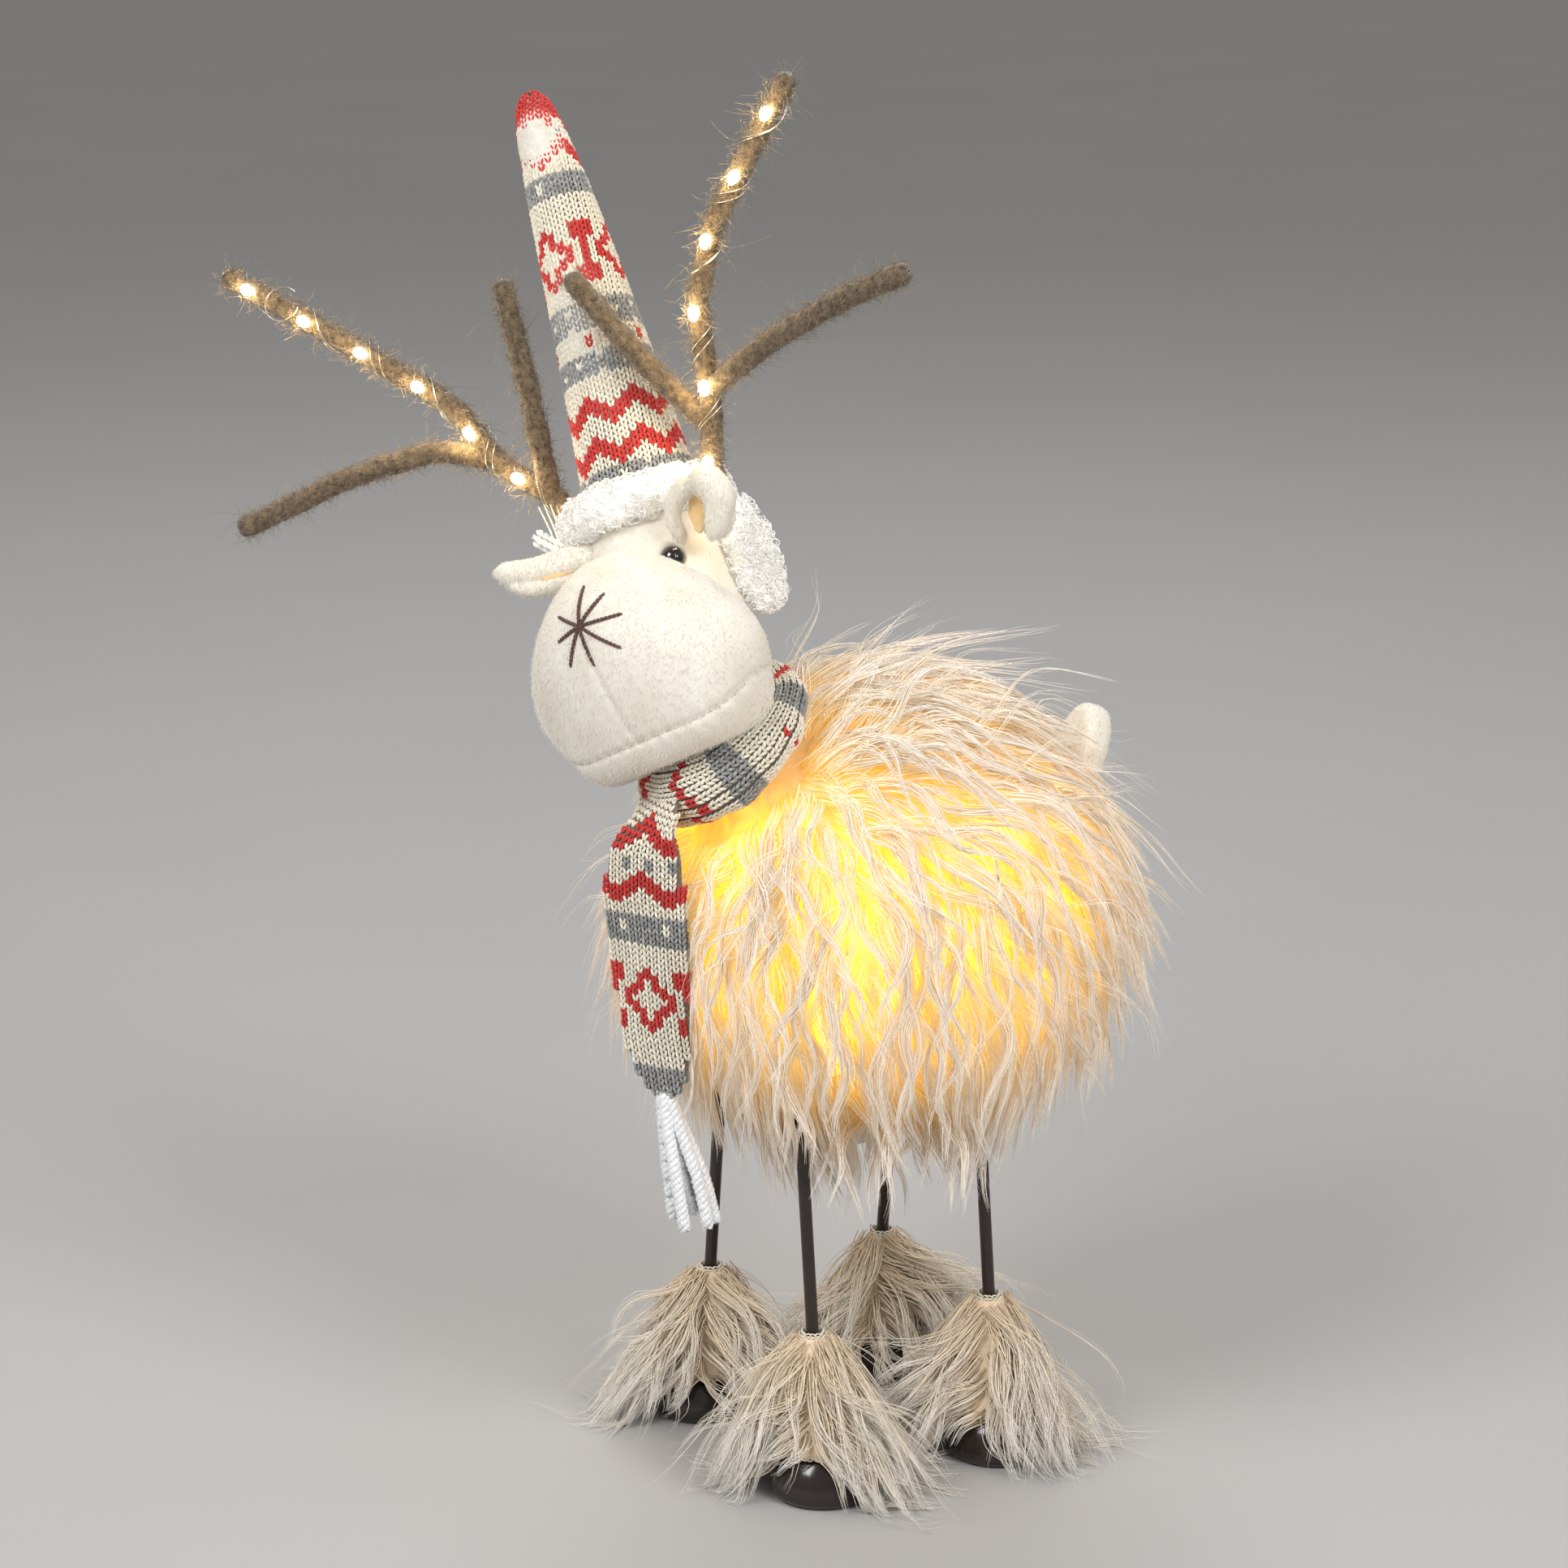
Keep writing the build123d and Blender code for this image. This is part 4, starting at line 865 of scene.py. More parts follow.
def on_muzzle(x, z, lift):
    """A point on the front of the muzzle, by its head-frame x and height, and its normal."""
    start = from_head((x, -120.0, z))
    hit, normal, _, _ = muzzle_tree.ray_cast(Vector(start), Vector(head_y))
    if hit is None:
        hit, normal, _, _ = muzzle_tree.find_nearest(Vector(from_head((x, -24.0, z))))
    return np.array(hit) + np.array(normal) * lift


def lengths_along(points):
    """How far along a line each of its points is."""
    gaps = np.linalg.norm(np.diff(points, axis=0), axis=1)
    return np.concatenate(([0], np.cumsum(gaps)))


def read_off(at, along, values):
    """Three-part values that are known along a line, read off at other places of it."""
    return np.column_stack([np.interp(at, along, values[:, k]) for k in range(3)])


def resampled(points, steps):
    points = np.asarray(points, float)
    along = lengths_along(points)
    return read_off(np.linspace(0, along[-1], steps), along, points)


def smooth_path(points, steps):
    """A Catmull-Rom line through a few points, resampled evenly."""
    points = np.asarray(points, float)
    padded = np.vstack((2 * points[0] - points[1], points, 2 * points[-1] - points[-2]))
    out = []
    for i in range(1, len(padded) - 2):
        a, b, c, d = padded[i - 1:i + 3]
        for s in np.linspace(0, 1, 12, endpoint=False):
            out.append(0.5 * ((2 * b) + (c - a) * s + (2 * a - 5 * b + 4 * c - d) * s * s
                              + (3 * b - a - 3 * c + d) * s ** 3))
    out.append(padded[-2])
    return resampled(out, steps)


def plied(path, thick, plies, pitch, reference, lay=0.55):
    """A yarn: plies of thread twisted round one line."""
    path = np.asarray(path)
    length = np.linalg.norm(np.diff(path, axis=0), axis=1).sum()
    first, second = frames_along(path[None], unit(np.asarray(reference, float))[None])
    s = np.linspace(0, 1, len(path))
    begin = np.sin(np.clip(s * length / thick, 0, math.pi / 2))
    ends = begin * np.sin(np.clip((1 - s) * length / thick, 0, math.pi / 2))
    out = []
    for k in range(plies):
        a = TAU * (s * length / pitch + k / plies)
        line = path + (first[0] * np.cos(a)[:, None] + second[0] * np.sin(a)[:, None]) * thick * lay
        out.append((line, thick * (0.35 + 0.35 * ends)))
    return out


def yarn_piece(name, lines, material, sides=6):
    """One mesh from (path, radii) lines of any lengths."""
    parts = []
    for path, radii in lines:
        points, faces, _ = tube_arrays(np.asarray(path)[None], np.broadcast_to(radii, (1, len(path))), sides)
        parts.append((points, faces))
    return make_mesh(name, *joined(parts), [material])


NOSE_HEIGHT = 78.5
NOSE_RAYS = [(2.8, 17.1), (15.1, 9.7), (23, -2.6), (18, -17.5), (0.8, -20.2), (-12.7, -16), (-15.8, -3),
             (-13.3, 8.3)]
nose_lines = []
for x, z in NOSE_RAYS:
    steps = np.linspace(0.0, 1.0, 26)
    line = np.array([on_muzzle(x * s, NOSE_HEIGHT + z * s, 0.7 * math.sin(math.pi * min(1, 0.15 + s * 0.85)))
                     for s in steps])
    nose_lines += plied(line, 0.85, 2, 4.2, head_z + 0.3 * head_x)
place(yarn_piece("nose_star", nose_lines, brown_thread), "head", "nose_thread", "nose_stitches")

seam_lines = []
for k in range(30):
    x0 = -54 + 106 * k / 29
    ends = np.array([on_muzzle(x0 + d, MOUTH + cheek_rise(x0 + d) + 0.15 * (1 if k % 2 else -1), -0.1)
                     for d in (0.2, 1.6, 3.0)])
    seam_lines.append((resampled(ends, 6), 0.3))
place(yarn_piece("mouth_seam", seam_lines, seam_thread), "head", "plush")

# ---------------------------------------------------------------- ears
def lobe(spine, radii, flat, towards, steps=40, sides=20):
    """A plump closed roll along a head-frame line: flat is its thickness towards a direction as a share of
    its width."""
    path = smooth_path(from_head(spine), steps)
    ahead = unit(np.gradient(path, axis=0))
    face = unit(HEAD @ np.asarray(towards, float))
    second = unit(face - ahead * (ahead @ face)[:, None])
    first = np.cross(ahead, second)
    s = np.linspace(0, 1, steps)
    wide = np.interp(s, *zip(*radii)) * np.sqrt(np.clip(np.minimum(s, 1 - s) * 9, 0.02, 1))
    angle = np.arange(sides) * TAU / sides
    ring = (first[:, None] * np.cos(angle)[None, :, None]
            + second[:, None] * np.sin(angle)[None, :, None] * flat)
    points = (path[:, None] + ring * wide[:, None, None]).reshape(-1, 3)
    last = (steps - 1) * sides
    j = np.arange(sides // 2 - 1)
    cap = np.column_stack((j, j + 1, sides - 2 - j, sides - 1 - j))
    return points, np.vstack((grid_faces(steps, sides), cap[:, ::-1], cap + last))


def soft_ear(name, replaced, lobes, lining):
    """An ear that is folded into plump rolls of plush, with a strip in the fold whose orange is painted warm
    light.
    """
    ear = soft_form(name, *joined(lobes), 0.9, 4, 0.2, plush)
    creases = 0.25 * wander(points_of(ear), 5.0, 17)[:, :1]
    set_points(ear, points_of(ear) + normals_of(ear) * creases)
    place(ear, "head", "plush", replaced)
    inside = soft_form(f"{name}_lining", *lining, 0.8, 4, 0.1, painted_warm_ear_lining)
    place(inside, "head", "plush")
    return ear


TO_VIEW = (0.2, -0.95, 0.1)
ear_right = soft_ear(
    "ear_right_plush", "ear_right",
    [lobe([(-15, 2, 111), (-26, -8, 111.5), (-38.4, -18, 112.7), (-49.5, -26, 116.2), (-58, -31.5, 120)],
          [(0, 6.5), (0.3, 7.2), (0.6, 6.4), (0.85, 5.6), (1, 5.2)], 0.8, TO_VIEW),
     lobe([(-27, -8, 105), (-36, -17.5, 104), (-46, -24, 106.5), (-54, -30, 112.5)],
          [(0, 3.5), (0.35, 4.6), (0.7, 3.8), (1, 2.6)], 0.9, TO_VIEW)],
    lobe([(-22, -8, 108), (-36, -19.5, 108), (-50, -27, 112.5)], [(0, 2.2), (0.5, 3.0), (1, 1.6)], 0.7,
         TO_VIEW))
ear_left = soft_ear(
    "ear_left_plush", "ear_left",
    [lobe([(33, -4, 97), (36, -9, 104), (38.5, -11, 112), (46, -12, 119), (56, -11, 122)],
          [(0, 2.6), (0.3, 3.6), (0.65, 4.4), (1, 6.5)], 0.9, TO_VIEW),
     lobe([(54, -10, 119.5), (63.5, -12, 119.5), (67.5, -13, 110.5), (63, -14.5, 100.5), (55, -16, 92)],
          [(0, 6.0), (0.25, 8.0), (0.5, 7.8), (0.8, 5.6), (1, 2.6)], 0.85, TO_VIEW),
     lobe([(52, -2, 112), (56, -3, 104), (48, -3, 96)], [(0, 9.0), (0.5, 10.0), (1, 7.0)], 0.35, TO_VIEW)],
    lobe([(51.5, -7.5, 117), (48.5, -7.5, 107), (46, -8, 97.5)], [(0, 3.0), (0.5, 4.6), (1, 2.0)], 0.45,
         TO_VIEW))


# ---------------------------------------------------------------- sherpa brim, flaps and tuft
def surface_samples(made, count, local_rng):
    """Random points on a mesh with their normals, in row-frame millimetres."""
    mesh = made.data
    mesh.calc_loop_triangles()
    corners = np.empty(len(mesh.loop_triangles) * 3, np.int32)
    mesh.loop_triangles.foreach_get("vertices", corners)
    p = points_of(made)[corners.reshape(-1, 3)]
    cross = np.cross(p[:, 1] - p[:, 0], p[:, 2] - p[:, 0])
    area = np.linalg.norm(cross, axis=1)
    pick = local_rng.choice(len(area), count, p=area / area.sum())
    a, b = np.sqrt(local_rng.uniform(size=count)), local_rng.uniform(size=count)
    w = np.column_stack((1 - a, a * (1 - b), a * b))
    return np.einsum("nk,nkd->nd", w, p[pick]), unit(cross[pick])


def curls_on(made, count, size, thick, name, body, slot):
    """Small woolly curls that stand on a fleece surface."""
    roots, normals = surface_samples(made, count, rng)
    steps = 9
    s = np.linspace(0, 1, steps)[None, :, None]
    first = unit(np.cross(normals, rng.normal(size=(count, 3))))
    second = np.cross(normals, first)
    angle = rng.uniform(3.5, 7.0, (count, 1, 1)) * s + rng.uniform(0, TAU, (count, 1, 1))
    radius = rng.uniform(0.25, 0.5, (count, 1, 1)) * size
    rise = np.sin(s * rng.uniform(1.6, 3.0, (count, 1, 1))) * size * rng.uniform(0.5, 0.9, (count, 1, 1))
    path = (roots[:, None] - normals[:, None] * 0.3 + normals[:, None] * rise
            + first[:, None] * (np.cos(angle) - np.cos(angle[:, :1])) * radius
            + second[:, None] * (np.sin(angle) - np.sin(angle[:, :1])) * radius)
    piece = hair_piece(name, [(path, taper(count, steps, thick, tip=0.5))], fleece_curls)
    return place(piece, body, slot)


def nap_on(made, count, body="head"):
    """The short pile of the plush: it lies down and forward over the form."""
    roots, normals = surface_samples(made, count, rng)
    aim = unit(normals * 0.55 + np.array((0.0, -0.35, -0.75)) + rng.normal(size=(count, 3)) * 0.22)
    aim = aim + normals * np.maximum(0.35 - np.sum(aim * normals, axis=1, keepdims=True), 0)
    steps = np.linspace(0, 1, 3)[None, :, None]
    lengths = rng.uniform(1.0, 1.9, (count, 1, 1))
    pile = roots[:, None] - normals[:, None] * 0.15 + aim[:, None] * steps * lengths
    piece = hair_piece(f"{made.name}_nap", [(pile, taper(count, 3, 0.13, tip=0.3))], plush_nap)
    return place(piece, body, "plush")


for soft, count in ((muzzle, 15000), (skull, 5000), (ear_right, 2600), (ear_left, 3000)):
    nap_on(soft, count)
nap_on(tail_piece, 3000, "root")

# Faint warm emission on the sherpa and on the curl strands, which the tassel's pile shares too: painted light
# standing in for the antler lights falling on the fleece.
for fleecy in (sherpa, fleece_curls):
    glow = fleecy.node_tree.nodes["Principled BSDF"]
    glow.inputs["Emission Color"].default_value = (1.0, 0.95, 0.86, 1)
    glow.inputs["Emission Strength"].default_value = 0.14


def fleece(name, nodes, swell, count):
    made = stuffed(name, nodes, 1.6, 6, swell, sherpa, "head", "sherpa")
    points = points_of(made)
    lumps = wander(points, 4.2, 5)[:, :1] * 0.9 + wander(points, 1.8, 6)[:, :1] * 0.45
    set_points(made, points + normals_of(made) * lumps)
    curls_on(made, count, 3.6, 0.42, f"{name}_curls", "head", "sherpa")
    return made


fleece("brim_fleece", ["hat_brim"], 1.2, 2600)
fleece("flap_fleece", ["ear_flaps"], 0.8, 2000)

tuft_lines = []
for k in range(4):
    drift = rng.normal(size=3) * 1.3
    spine = [np.array((-38, 30, 112.0)) + drift * 0.3, np.array((-52, 31, 116.0)) + drift,
             np.array((-63, 31, 123.0)) + drift * 1.4, np.array((-72, 31, 132.0)) + drift * 1.6]
    tuft_lines += plied(smooth_path(from_head(spine), 32), 1.5, 2, 7.0, NECK_AXIS)
place(yarn_piece("brim_tie", tuft_lines, white_yarn), "head", "yarn", "brim_tuft")

# ---------------------------------------------------------------- knitting
STITCH_WIDE, STITCH_TALL = 4.1, 2.9
CREAM, RED, GREY = 0, 1, 2
KNIT = [cream_yarn, red_yarn, grey_yarn, knit_gap_shade]


def leg_template():
    """One leg of a knit stitch, a bent teardrop: its points (across, along, out), quads and triangles."""
    sides = 6
    points = [(0.0, -1.0, -0.12)]
    for level, wide in ((-0.62, 0.72), (0.0, 1.0), (0.62, 0.74)):
        for k in range(sides):
            a = TAU * k / sides
            out = 0.22 * wide * math.sin(a) + 0.15 * (1 - level ** 2)
            points.append((0.20 * wide * math.cos(a), level, out))
    points.append((0.0, 1.0, -0.12))
    last = len(points) - 1
    quads, triangles = [], []
    for k in range(sides):
        after = (k + 1) % sides
        triangles.append((0, 1 + after, 1 + k))
        for low in (1, 1 + sides):
            quads.append((low + k, low + after, low + sides + after, low + sides + k))
        triangles.append((1 + 2 * sides + k, 1 + 2 * sides + after, last))
    return np.array(points), np.array(quads), np.array(triangles)


LEG_POINTS, LEG_QUADS, LEG_TRIANGLES = leg_template()
LEG_TILT = 0.30


def stitch_mesh(name, places, rights, ups, outs, colours):
    """V stitches at these places. rights and ups are scaled by the stitch's own size there."""
    count = len(places)
    wide = np.linalg.norm(rights, axis=1)
    across, along, out = LEG_POINTS.T
    parts = []
    for side in (-1, 1):
        x = across + side * (0.235 + along * LEG_TILT * 0.62)
        y = along * 0.84
        vary = rng.normal(1.0, 0.05, (count, 1, 1))
        points = (places[:, None] + rights[:, None] * x[None, :, None] * vary
                  + ups[:, None] * y[None, :, None]
                  + outs[:, None] * (out[None, :] * wide[:, None])[:, :, None] * vary)
        parts.append(points.reshape(-1, 3))
    starts = (np.arange(2 * count) * len(LEG_POINTS))[:, None, None]
    faces, kinds = [], []
    for shape in (LEG_QUADS, LEG_TRIANGLES):
        faces.append((shape[None] + starts).reshape(-1, shape.shape[1]))
        kinds.append(np.repeat(np.concatenate((colours, colours)), len(shape)))
    return make_mesh(name, np.vstack(parts), faces, KNIT, np.concatenate(kinds))


def zigzag(column, row, base, height, thick, period=6):
    """True on a zigzag line of a chart."""
    half = period / 2
    fold = abs((column + half) % period - half) / half
    return 0 <= row - base - round(height * (1 - fold)) < thick


def diamond_motif(column, row, period=10):
    """A plain diamond between barbed upright bars, thirteen rows high."""
    x = abs((column + period // 2) % period - period // 2)
    y = abs(row - 6)
    diamond = 2.2 <= x + y * 0.62 <= 3.7
    bar = x >= 5 and y < 6 or x == 4 and 3 <= y <= 5
    return diamond or bar


def hat_colour(column, row):
    if row >= 68 or row >= 66 and column % 3 == 0:
        return RED
    if row <= 5 or 22 <= row <= 25 or 30 <= row <= 34:
        return GREY if (column * 5 + row * 3) % 9 else CREAM
    if 54 <= row <= 57:
        return CREAM if row in (55, 56) and column % 8 == 0 else GREY
    if zigzag(column, row, 6, 3, 3) or zigzag(column, row, 13, 3, 3) or zigzag(column + 2, row, 59, 3, 3):
        return RED
    if row in (27, 28) and column % 7 == 2:
        return RED
    if 37 <= row <= 49 and diamond_motif(column + 1, row - 37):
        return RED
    if row == 65 and column % 5 == 4:
        return GREY
    return CREAM


HAT_OUTLINE = [(126, 30.0), (145, 27.5), (190, 24.0), (243, 20.0), (293, 15.5), (325, 11.6), (335, 9.2),
               (341, 6.0), (344, 1.5)]
crown_first = np.array((1.0, 0.0, 0.0))
crown_second = np.cross(CROWN, crown_first)


def hat_radius(t):
    return np.interp(t, *zip(*HAT_OUTLINE))


def hat_axis(t):
    """The hat's middle line: the crown axis, with a slight slump towards its tip."""
    share = np.clip((np.asarray(t, float) - 130) / 214, 0, 1)
    bow = np.sin(share * math.pi) * 2.0
    return np.asarray(t, float)[..., None] * CROWN + bow[..., None] * crown_second


def hat_place(t, angle, lift):
    ring = np.cos(angle)[..., None] * -crown_second + np.sin(angle)[..., None] * crown_first
    return hat_axis(t) + ring * (hat_radius(t) + lift)[..., None], ring


rows_t = np.arange(127, 343.0, 2.95)
stitch_t, stitch_a, stitch_c = [], [], []
for row, t in enumerate(rows_t):
    reach = hat_radius(t) * math.pi
    columns = int(reach / STITCH_WIDE)
    for column in range(-columns, columns + 1):
        stitch_t.append(t)
        stitch_a.append(column * STITCH_WIDE / hat_radius(t))
        stitch_c.append(hat_colour(column, row))
stitch_t, stitch_a = np.array(stitch_t), np.array(stitch_a)
at, ring = hat_place(stitch_t, stitch_a, -0.9)
narrowing = np.maximum(hat_radius(stitch_t + 1.0), 1)
above, _ = hat_place(stitch_t + 1.0, stitch_a * hat_radius(stitch_t) / narrowing, -0.9)
up = unit(above - at)
right = unit(np.cross(ring, up))
hat_knit = stitch_mesh("hat_stitches", from_head(at), (right @ HEAD.T) * STITCH_WIDE,
                       (up @ HEAD.T) * STITCH_TALL, ring @ HEAD.T, np.array(stitch_c))
place(hat_knit, "head", "knit")

# A dark shell under the hat's stitches: painted shade for the gaps between them.
rows, columns = 70, 64
t_grid, a_grid = np.meshgrid(np.linspace(125, 343.6, rows), np.arange(columns) * TAU / columns, indexing="ij")
outer, _ = hat_place(t_grid, a_grid, -1.9)
inner, _ = hat_place(t_grid[::-1], a_grid, -3.0)
shell = np.vstack((outer.reshape(-1, 3), inner.reshape(-1, 3)))
hat_shade_shell = make_mesh("hat_shade_shell", from_head(shell), shell_faces(rows, columns), [knit_gap_shade])
place(hat_shade_shell, "head", "knit", "hat")

# ---------------------------------------------------------------- scarf: tail, collar and tassel
SCARF_HALF = [(0.0, 14.5), (0.1, 16.5), (0.2, 19.0), (0.45, 21.0), (0.65, 20.0), (0.82, 17.5), (0.92, 13.5),
              (0.98, 8.0), (1.0, 4.0)]
SCARF_SHIFT = [(0.0, 1.0), (0.35, -1.5), (0.6, 0.5), (0.8, 3.5), (1.0, 9.0)]
SCARF_BACK = [(328, 0.0), (335, 3.0), (342, 8.5), (350, 14.5), (357, 21.0)]


def scarf_place(v, x, lift):
    """A point of the hanging end: v runs from its top to its tip, x across it in millimetres. Its top leans
    back over the collar."""
    z = SCARF_TOP + (SCARF_LOW - SCARF_TOP) * v
    wave = 1.6 * np.sin(v * 6.0 + 0.4) + 0.9 * np.sin(v * 11.0 + x * 0.08) - 0.004 * x ** 2
    wave = wave - np.interp(z, *zip(*SCARF_BACK))
    level = smooth_step((z - 326) / 18)[:, None]
    across = unit(scarf_across * (1 - level) + np.array((1.0, 0, 0)) * level)
    middle = scarf_middle + (np.interp(v, *zip(*SCARF_SHIFT)) + x)[:, None] * across
    return middle + np.outer(z, (0, 0, 1.0)) + np.outer(wave + lift, scarf_out)


def scarf_colour(column, row, rows):
    share = row / rows
    if share > 0.90 or 0.40 < share < 0.50:
        return CREAM if column % 6 == 3 and (0.42 < share < 0.46 or 0.93 < share < 0.97) else GREY
    if zigzag(column, rows - row, rows - 10, 4, 3, 7) or zigzag(column, rows - row, rows - 19, 4, 3, 7):
        return RED
    if row in (11, 12) and column % 3 == 1:
        return GREY
    start = int(0.56 * rows)
    if start <= row <= start + 12 and diamond_motif(column, row - start, 10):
        return RED
    return CREAM


scarf_rows = int((SCARF_TOP - SCARF_LOW) / 2.85)
v_list, x_list, c_list = [], [], []
for row in range(scarf_rows):
    v = (row + 0.5) / scarf_rows
    half = np.interp(v, *zip(*SCARF_HALF))
    columns = int(half / STITCH_WIDE + 0.2)
    for column in range(-columns, columns + 1):
        v_list.append(v)
        x_list.append(column * STITCH_WIDE)
        c_list.append(scarf_colour(column, row, scarf_rows))
v_list, x_list, c_list = np.array(v_list), np.array(x_list), np.array(c_list)
tail_sets = []
for side in (1, -1):
    at = scarf_place(v_list, x_list, side * 1.1)
    up_rows = unit(scarf_place(v_list - 0.004, x_list, side * 1.1) - at)
    along_rows = unit(scarf_place(v_list, x_list + 0.5, side * 1.1) - at) * side
    tail_sets.append((at, along_rows, up_rows, np.cross(along_rows, up_rows), c_list))
at, along_rows, up_rows, out = (np.vstack([side[k] for side in tail_sets]) for k in range(4))
tail_stitches = stitch_mesh("scarf_tail_stitches", at, along_rows * STITCH_WIDE, up_rows * STITCH_TALL, out,
                            np.concatenate([side[4] for side in tail_sets]))
place(tail_stitches, "root", "knit")

# A dark shell under the scarf end's stitches: painted shade for the gaps between them.
rows, columns = 48, 15
v_grid = np.repeat(np.linspace(0, 1, rows), columns)
t_grid = np.tile(np.linspace(-1, 1, columns), rows)
x_grid = t_grid * (np.interp(v_grid, *zip(*SCARF_HALF)) + 0.3)
front = scarf_place(v_grid, x_grid, 0.8).reshape(rows, columns, 3)
rear = scarf_place(v_grid, x_grid, -0.8).reshape(rows, columns, 3)
ring = np.concatenate((front, rear[:, ::-1]), axis=1)
faces = grid_faces(rows, 2 * columns)
caps = []
for row, flip in ((0, False), (rows - 1, True)):
    base = row * 2 * columns
    for j in range(columns - 1):
        quad = [base + j, base + j + 1, base + 2 * columns - 2 - j, base + 2 * columns - 1 - j]
        caps.append(quad if flip else quad[::-1])
scarf_shade_shell = make_mesh("scarf_tail_shade_shell", ring.reshape(-1, 3), np.vstack((faces, caps)), [knit_gap_shade])
place(scarf_shade_shell, "root", "knit", "scarf_tail")

tassel_top = scarf_place(np.array([1.0]), np.array([0.0]), 0.0)[0] + (0, 0, 1.5)
hang = unit(np.array((0.12, 0.2, -1.0)))
tassel_lines = []
for k in range(9):
    a = TAU * k / 9 + 0.3
    spread = np.array((math.cos(a), math.sin(a), 0.0))
    if k == 8:
        spread = spread * 0.1
    length = rng.uniform(62, 70)
    spine = [tassel_top + spread * 1.6, tassel_top + hang * length * 0.3 + spread * 5.0,
             tassel_top + hang * length * 0.65 + spread * 7.6 + rng.normal(size=3) * 0.6,
             tassel_top + hang * length + spread * 9.6 + rng.normal(size=3) * 1.2]
    tassel_lines += plied(smooth_path(spine, 60), 2.7, 3, 9.0, (1, 0, 0))
tassel = place(yarn_piece("scarf_tassel_yarn", tassel_lines, white_yarn), "root", "yarn", "scarf_tassel")
roots = np.vstack([np.asarray(p)[::2] for p, _ in tassel_lines])
pick = rng.integers(0, len(roots), 5200)
start = roots[pick]
aim = unit(rng.normal(size=(len(pick), 3)) + np.array((0, 0, -0.4)))
steps = np.linspace(0, 1, 4)[None, :, None]
pile = start[:, None] + aim[:, None] * (0.6 + steps * 1.7)
place(hair_piece("tassel_pile", [(pile, taper(len(pile), 4, 0.16, tip=0.4))], fleece_curls), "root", "yarn")

# collar: a soft band round the neck, with stitches that run along it
COLLAR_AT = NECK_DISTANCE - 1.5
COLLAR_RING, COLLAR_HALF_WIDE, COLLAR_HALF_HIGH = 31.5, 16.5, 11.0
COLLAR_SHIFT = 7.0
UNDER_CHIN = math.radians(-51)
collar_first = np.array((1.0, 0.0, 0.0))
collar_second = np.cross(NECK_AXIS, collar_first)
collar_middle = BALL + NECK_AXIS * COLLAR_AT + collar_second * COLLAR_SHIFT


def collar_place(around, section, lift):
    """A point of the collar: around the neck, and round the band's own section."""
    out = np.cos(around)[..., None] * collar_first + np.sin(around)[..., None] * collar_second
    rumple = 0.7 * np.sin(around * 7 + section * 2) + 0.5 * np.sin(around * 13 + 1 - section)
    x = np.sign(np.cos(section)) * np.abs(np.cos(section)) ** 0.8 * (COLLAR_HALF_WIDE + rumple + lift)
    z = np.sign(np.sin(section)) * np.abs(np.sin(section)) ** 0.8 * (COLLAR_HALF_HIGH + rumple * 0.6 + lift)
    z = z + np.maximum(np.sin(section), 0) * np.maximum(np.cos(around - UNDER_CHIN) + 0.25, 0) * 9.0
    return collar_middle + out * (COLLAR_RING + x)[..., None] + NECK_AXIS * z[..., None]


band_rows = int(TAU * (COLLAR_RING + 10) / 2.85)
band_columns = 22
around, section, colours = [], [], []
for row in range(band_rows):
    for column in range(band_columns):
        around.append(TAU * row / band_rows)
        section.append(TAU * (column + 0.5) / band_columns)
        share = row % 48
        tone = CREAM
        if 10 <= share <= 14 or 36 <= share <= 40:
            tone = GREY
        elif zigzag(column, share, 17, 3, 2) or zigzag(column, share, 27, 3, 2):
            tone = RED
        elif share == 5 and column % 4 == 0:
            tone = RED
        colours.append(tone)
around, section = np.array(around), np.array(section)
at = collar_place(around, section, -1.0)
step = 0.02
ahead = collar_place(around + step, section, -1.0) - at
beside = collar_place(around, section + step, -1.0) - at
out = unit(np.cross(ahead, beside))
flip = np.sum(out * (at - (collar_middle + unit(np.cross(NECK_AXIS, np.cross(at - collar_middle, NECK_AXIS)))
                           * COLLAR_RING)), axis=1) < 0
out[flip] *= -1
length_here = np.linalg.norm(ahead, axis=1) / step * TAU / band_rows
width_here = np.clip(np.linalg.norm(beside, axis=1) / step * TAU / band_columns, 2.2, 5.0)
collar_knit = stitch_mesh("scarf_collar_stitches", at, np.cross(unit(ahead), out) * -width_here[:, None],
                          unit(ahead) * (length_here * 1.02)[:, None], out, np.array(colours))
place(collar_knit, "root", "knit")
# A dark shell under the collar's stitches: painted shade for the gaps between them.
rows, columns = 120, 30
a_grid, s_grid = np.meshgrid(np.arange(rows) * TAU / rows, np.arange(columns) * TAU / columns, indexing="ij")
band = collar_place(a_grid.ravel(), s_grid.ravel(), -1.4)
faces = grid_faces(rows + 1, columns) % (rows * columns)
collar_shade_shell = make_mesh("scarf_collar_shade_shell", band, faces, [knit_gap_shade])
place(collar_shade_shell, "root", "knit", "scarf_collar")

# ---------------------------------------------------------------- antlers: wool wrapped wire, lights
ANTLER_RADIUS = 5.5
ANTLERS = {
    "left_stem": [(39, 26, 113), (60, 25, 157), (74, 23, 200), (101, 21, 231), (174, 16, 277)],
    "left_outer_tine": [(62, 24, 161), (112, 14, 169), (165, 3, 171), (207, -9, 168)],
    "left_inner_tine": [(54, 25, 145), (37, 20, 182), (16, 17, 240)],
    "right_stem": [(-38, 26, 112), (-44, 26, 142), (-70, 25, 172), (-80, 23, 207), (-108, 20, 242),
                   (-175, 14, 318)],
    "right_outer_tine": [(-72, 24, 176), (-97, 18, 191), (-147, 7, 197), (-211, -9, 195)],
    "right_inner_tine": [(-48, 25, 148), (-34, 22, 200), (-22, 18, 253)],
}


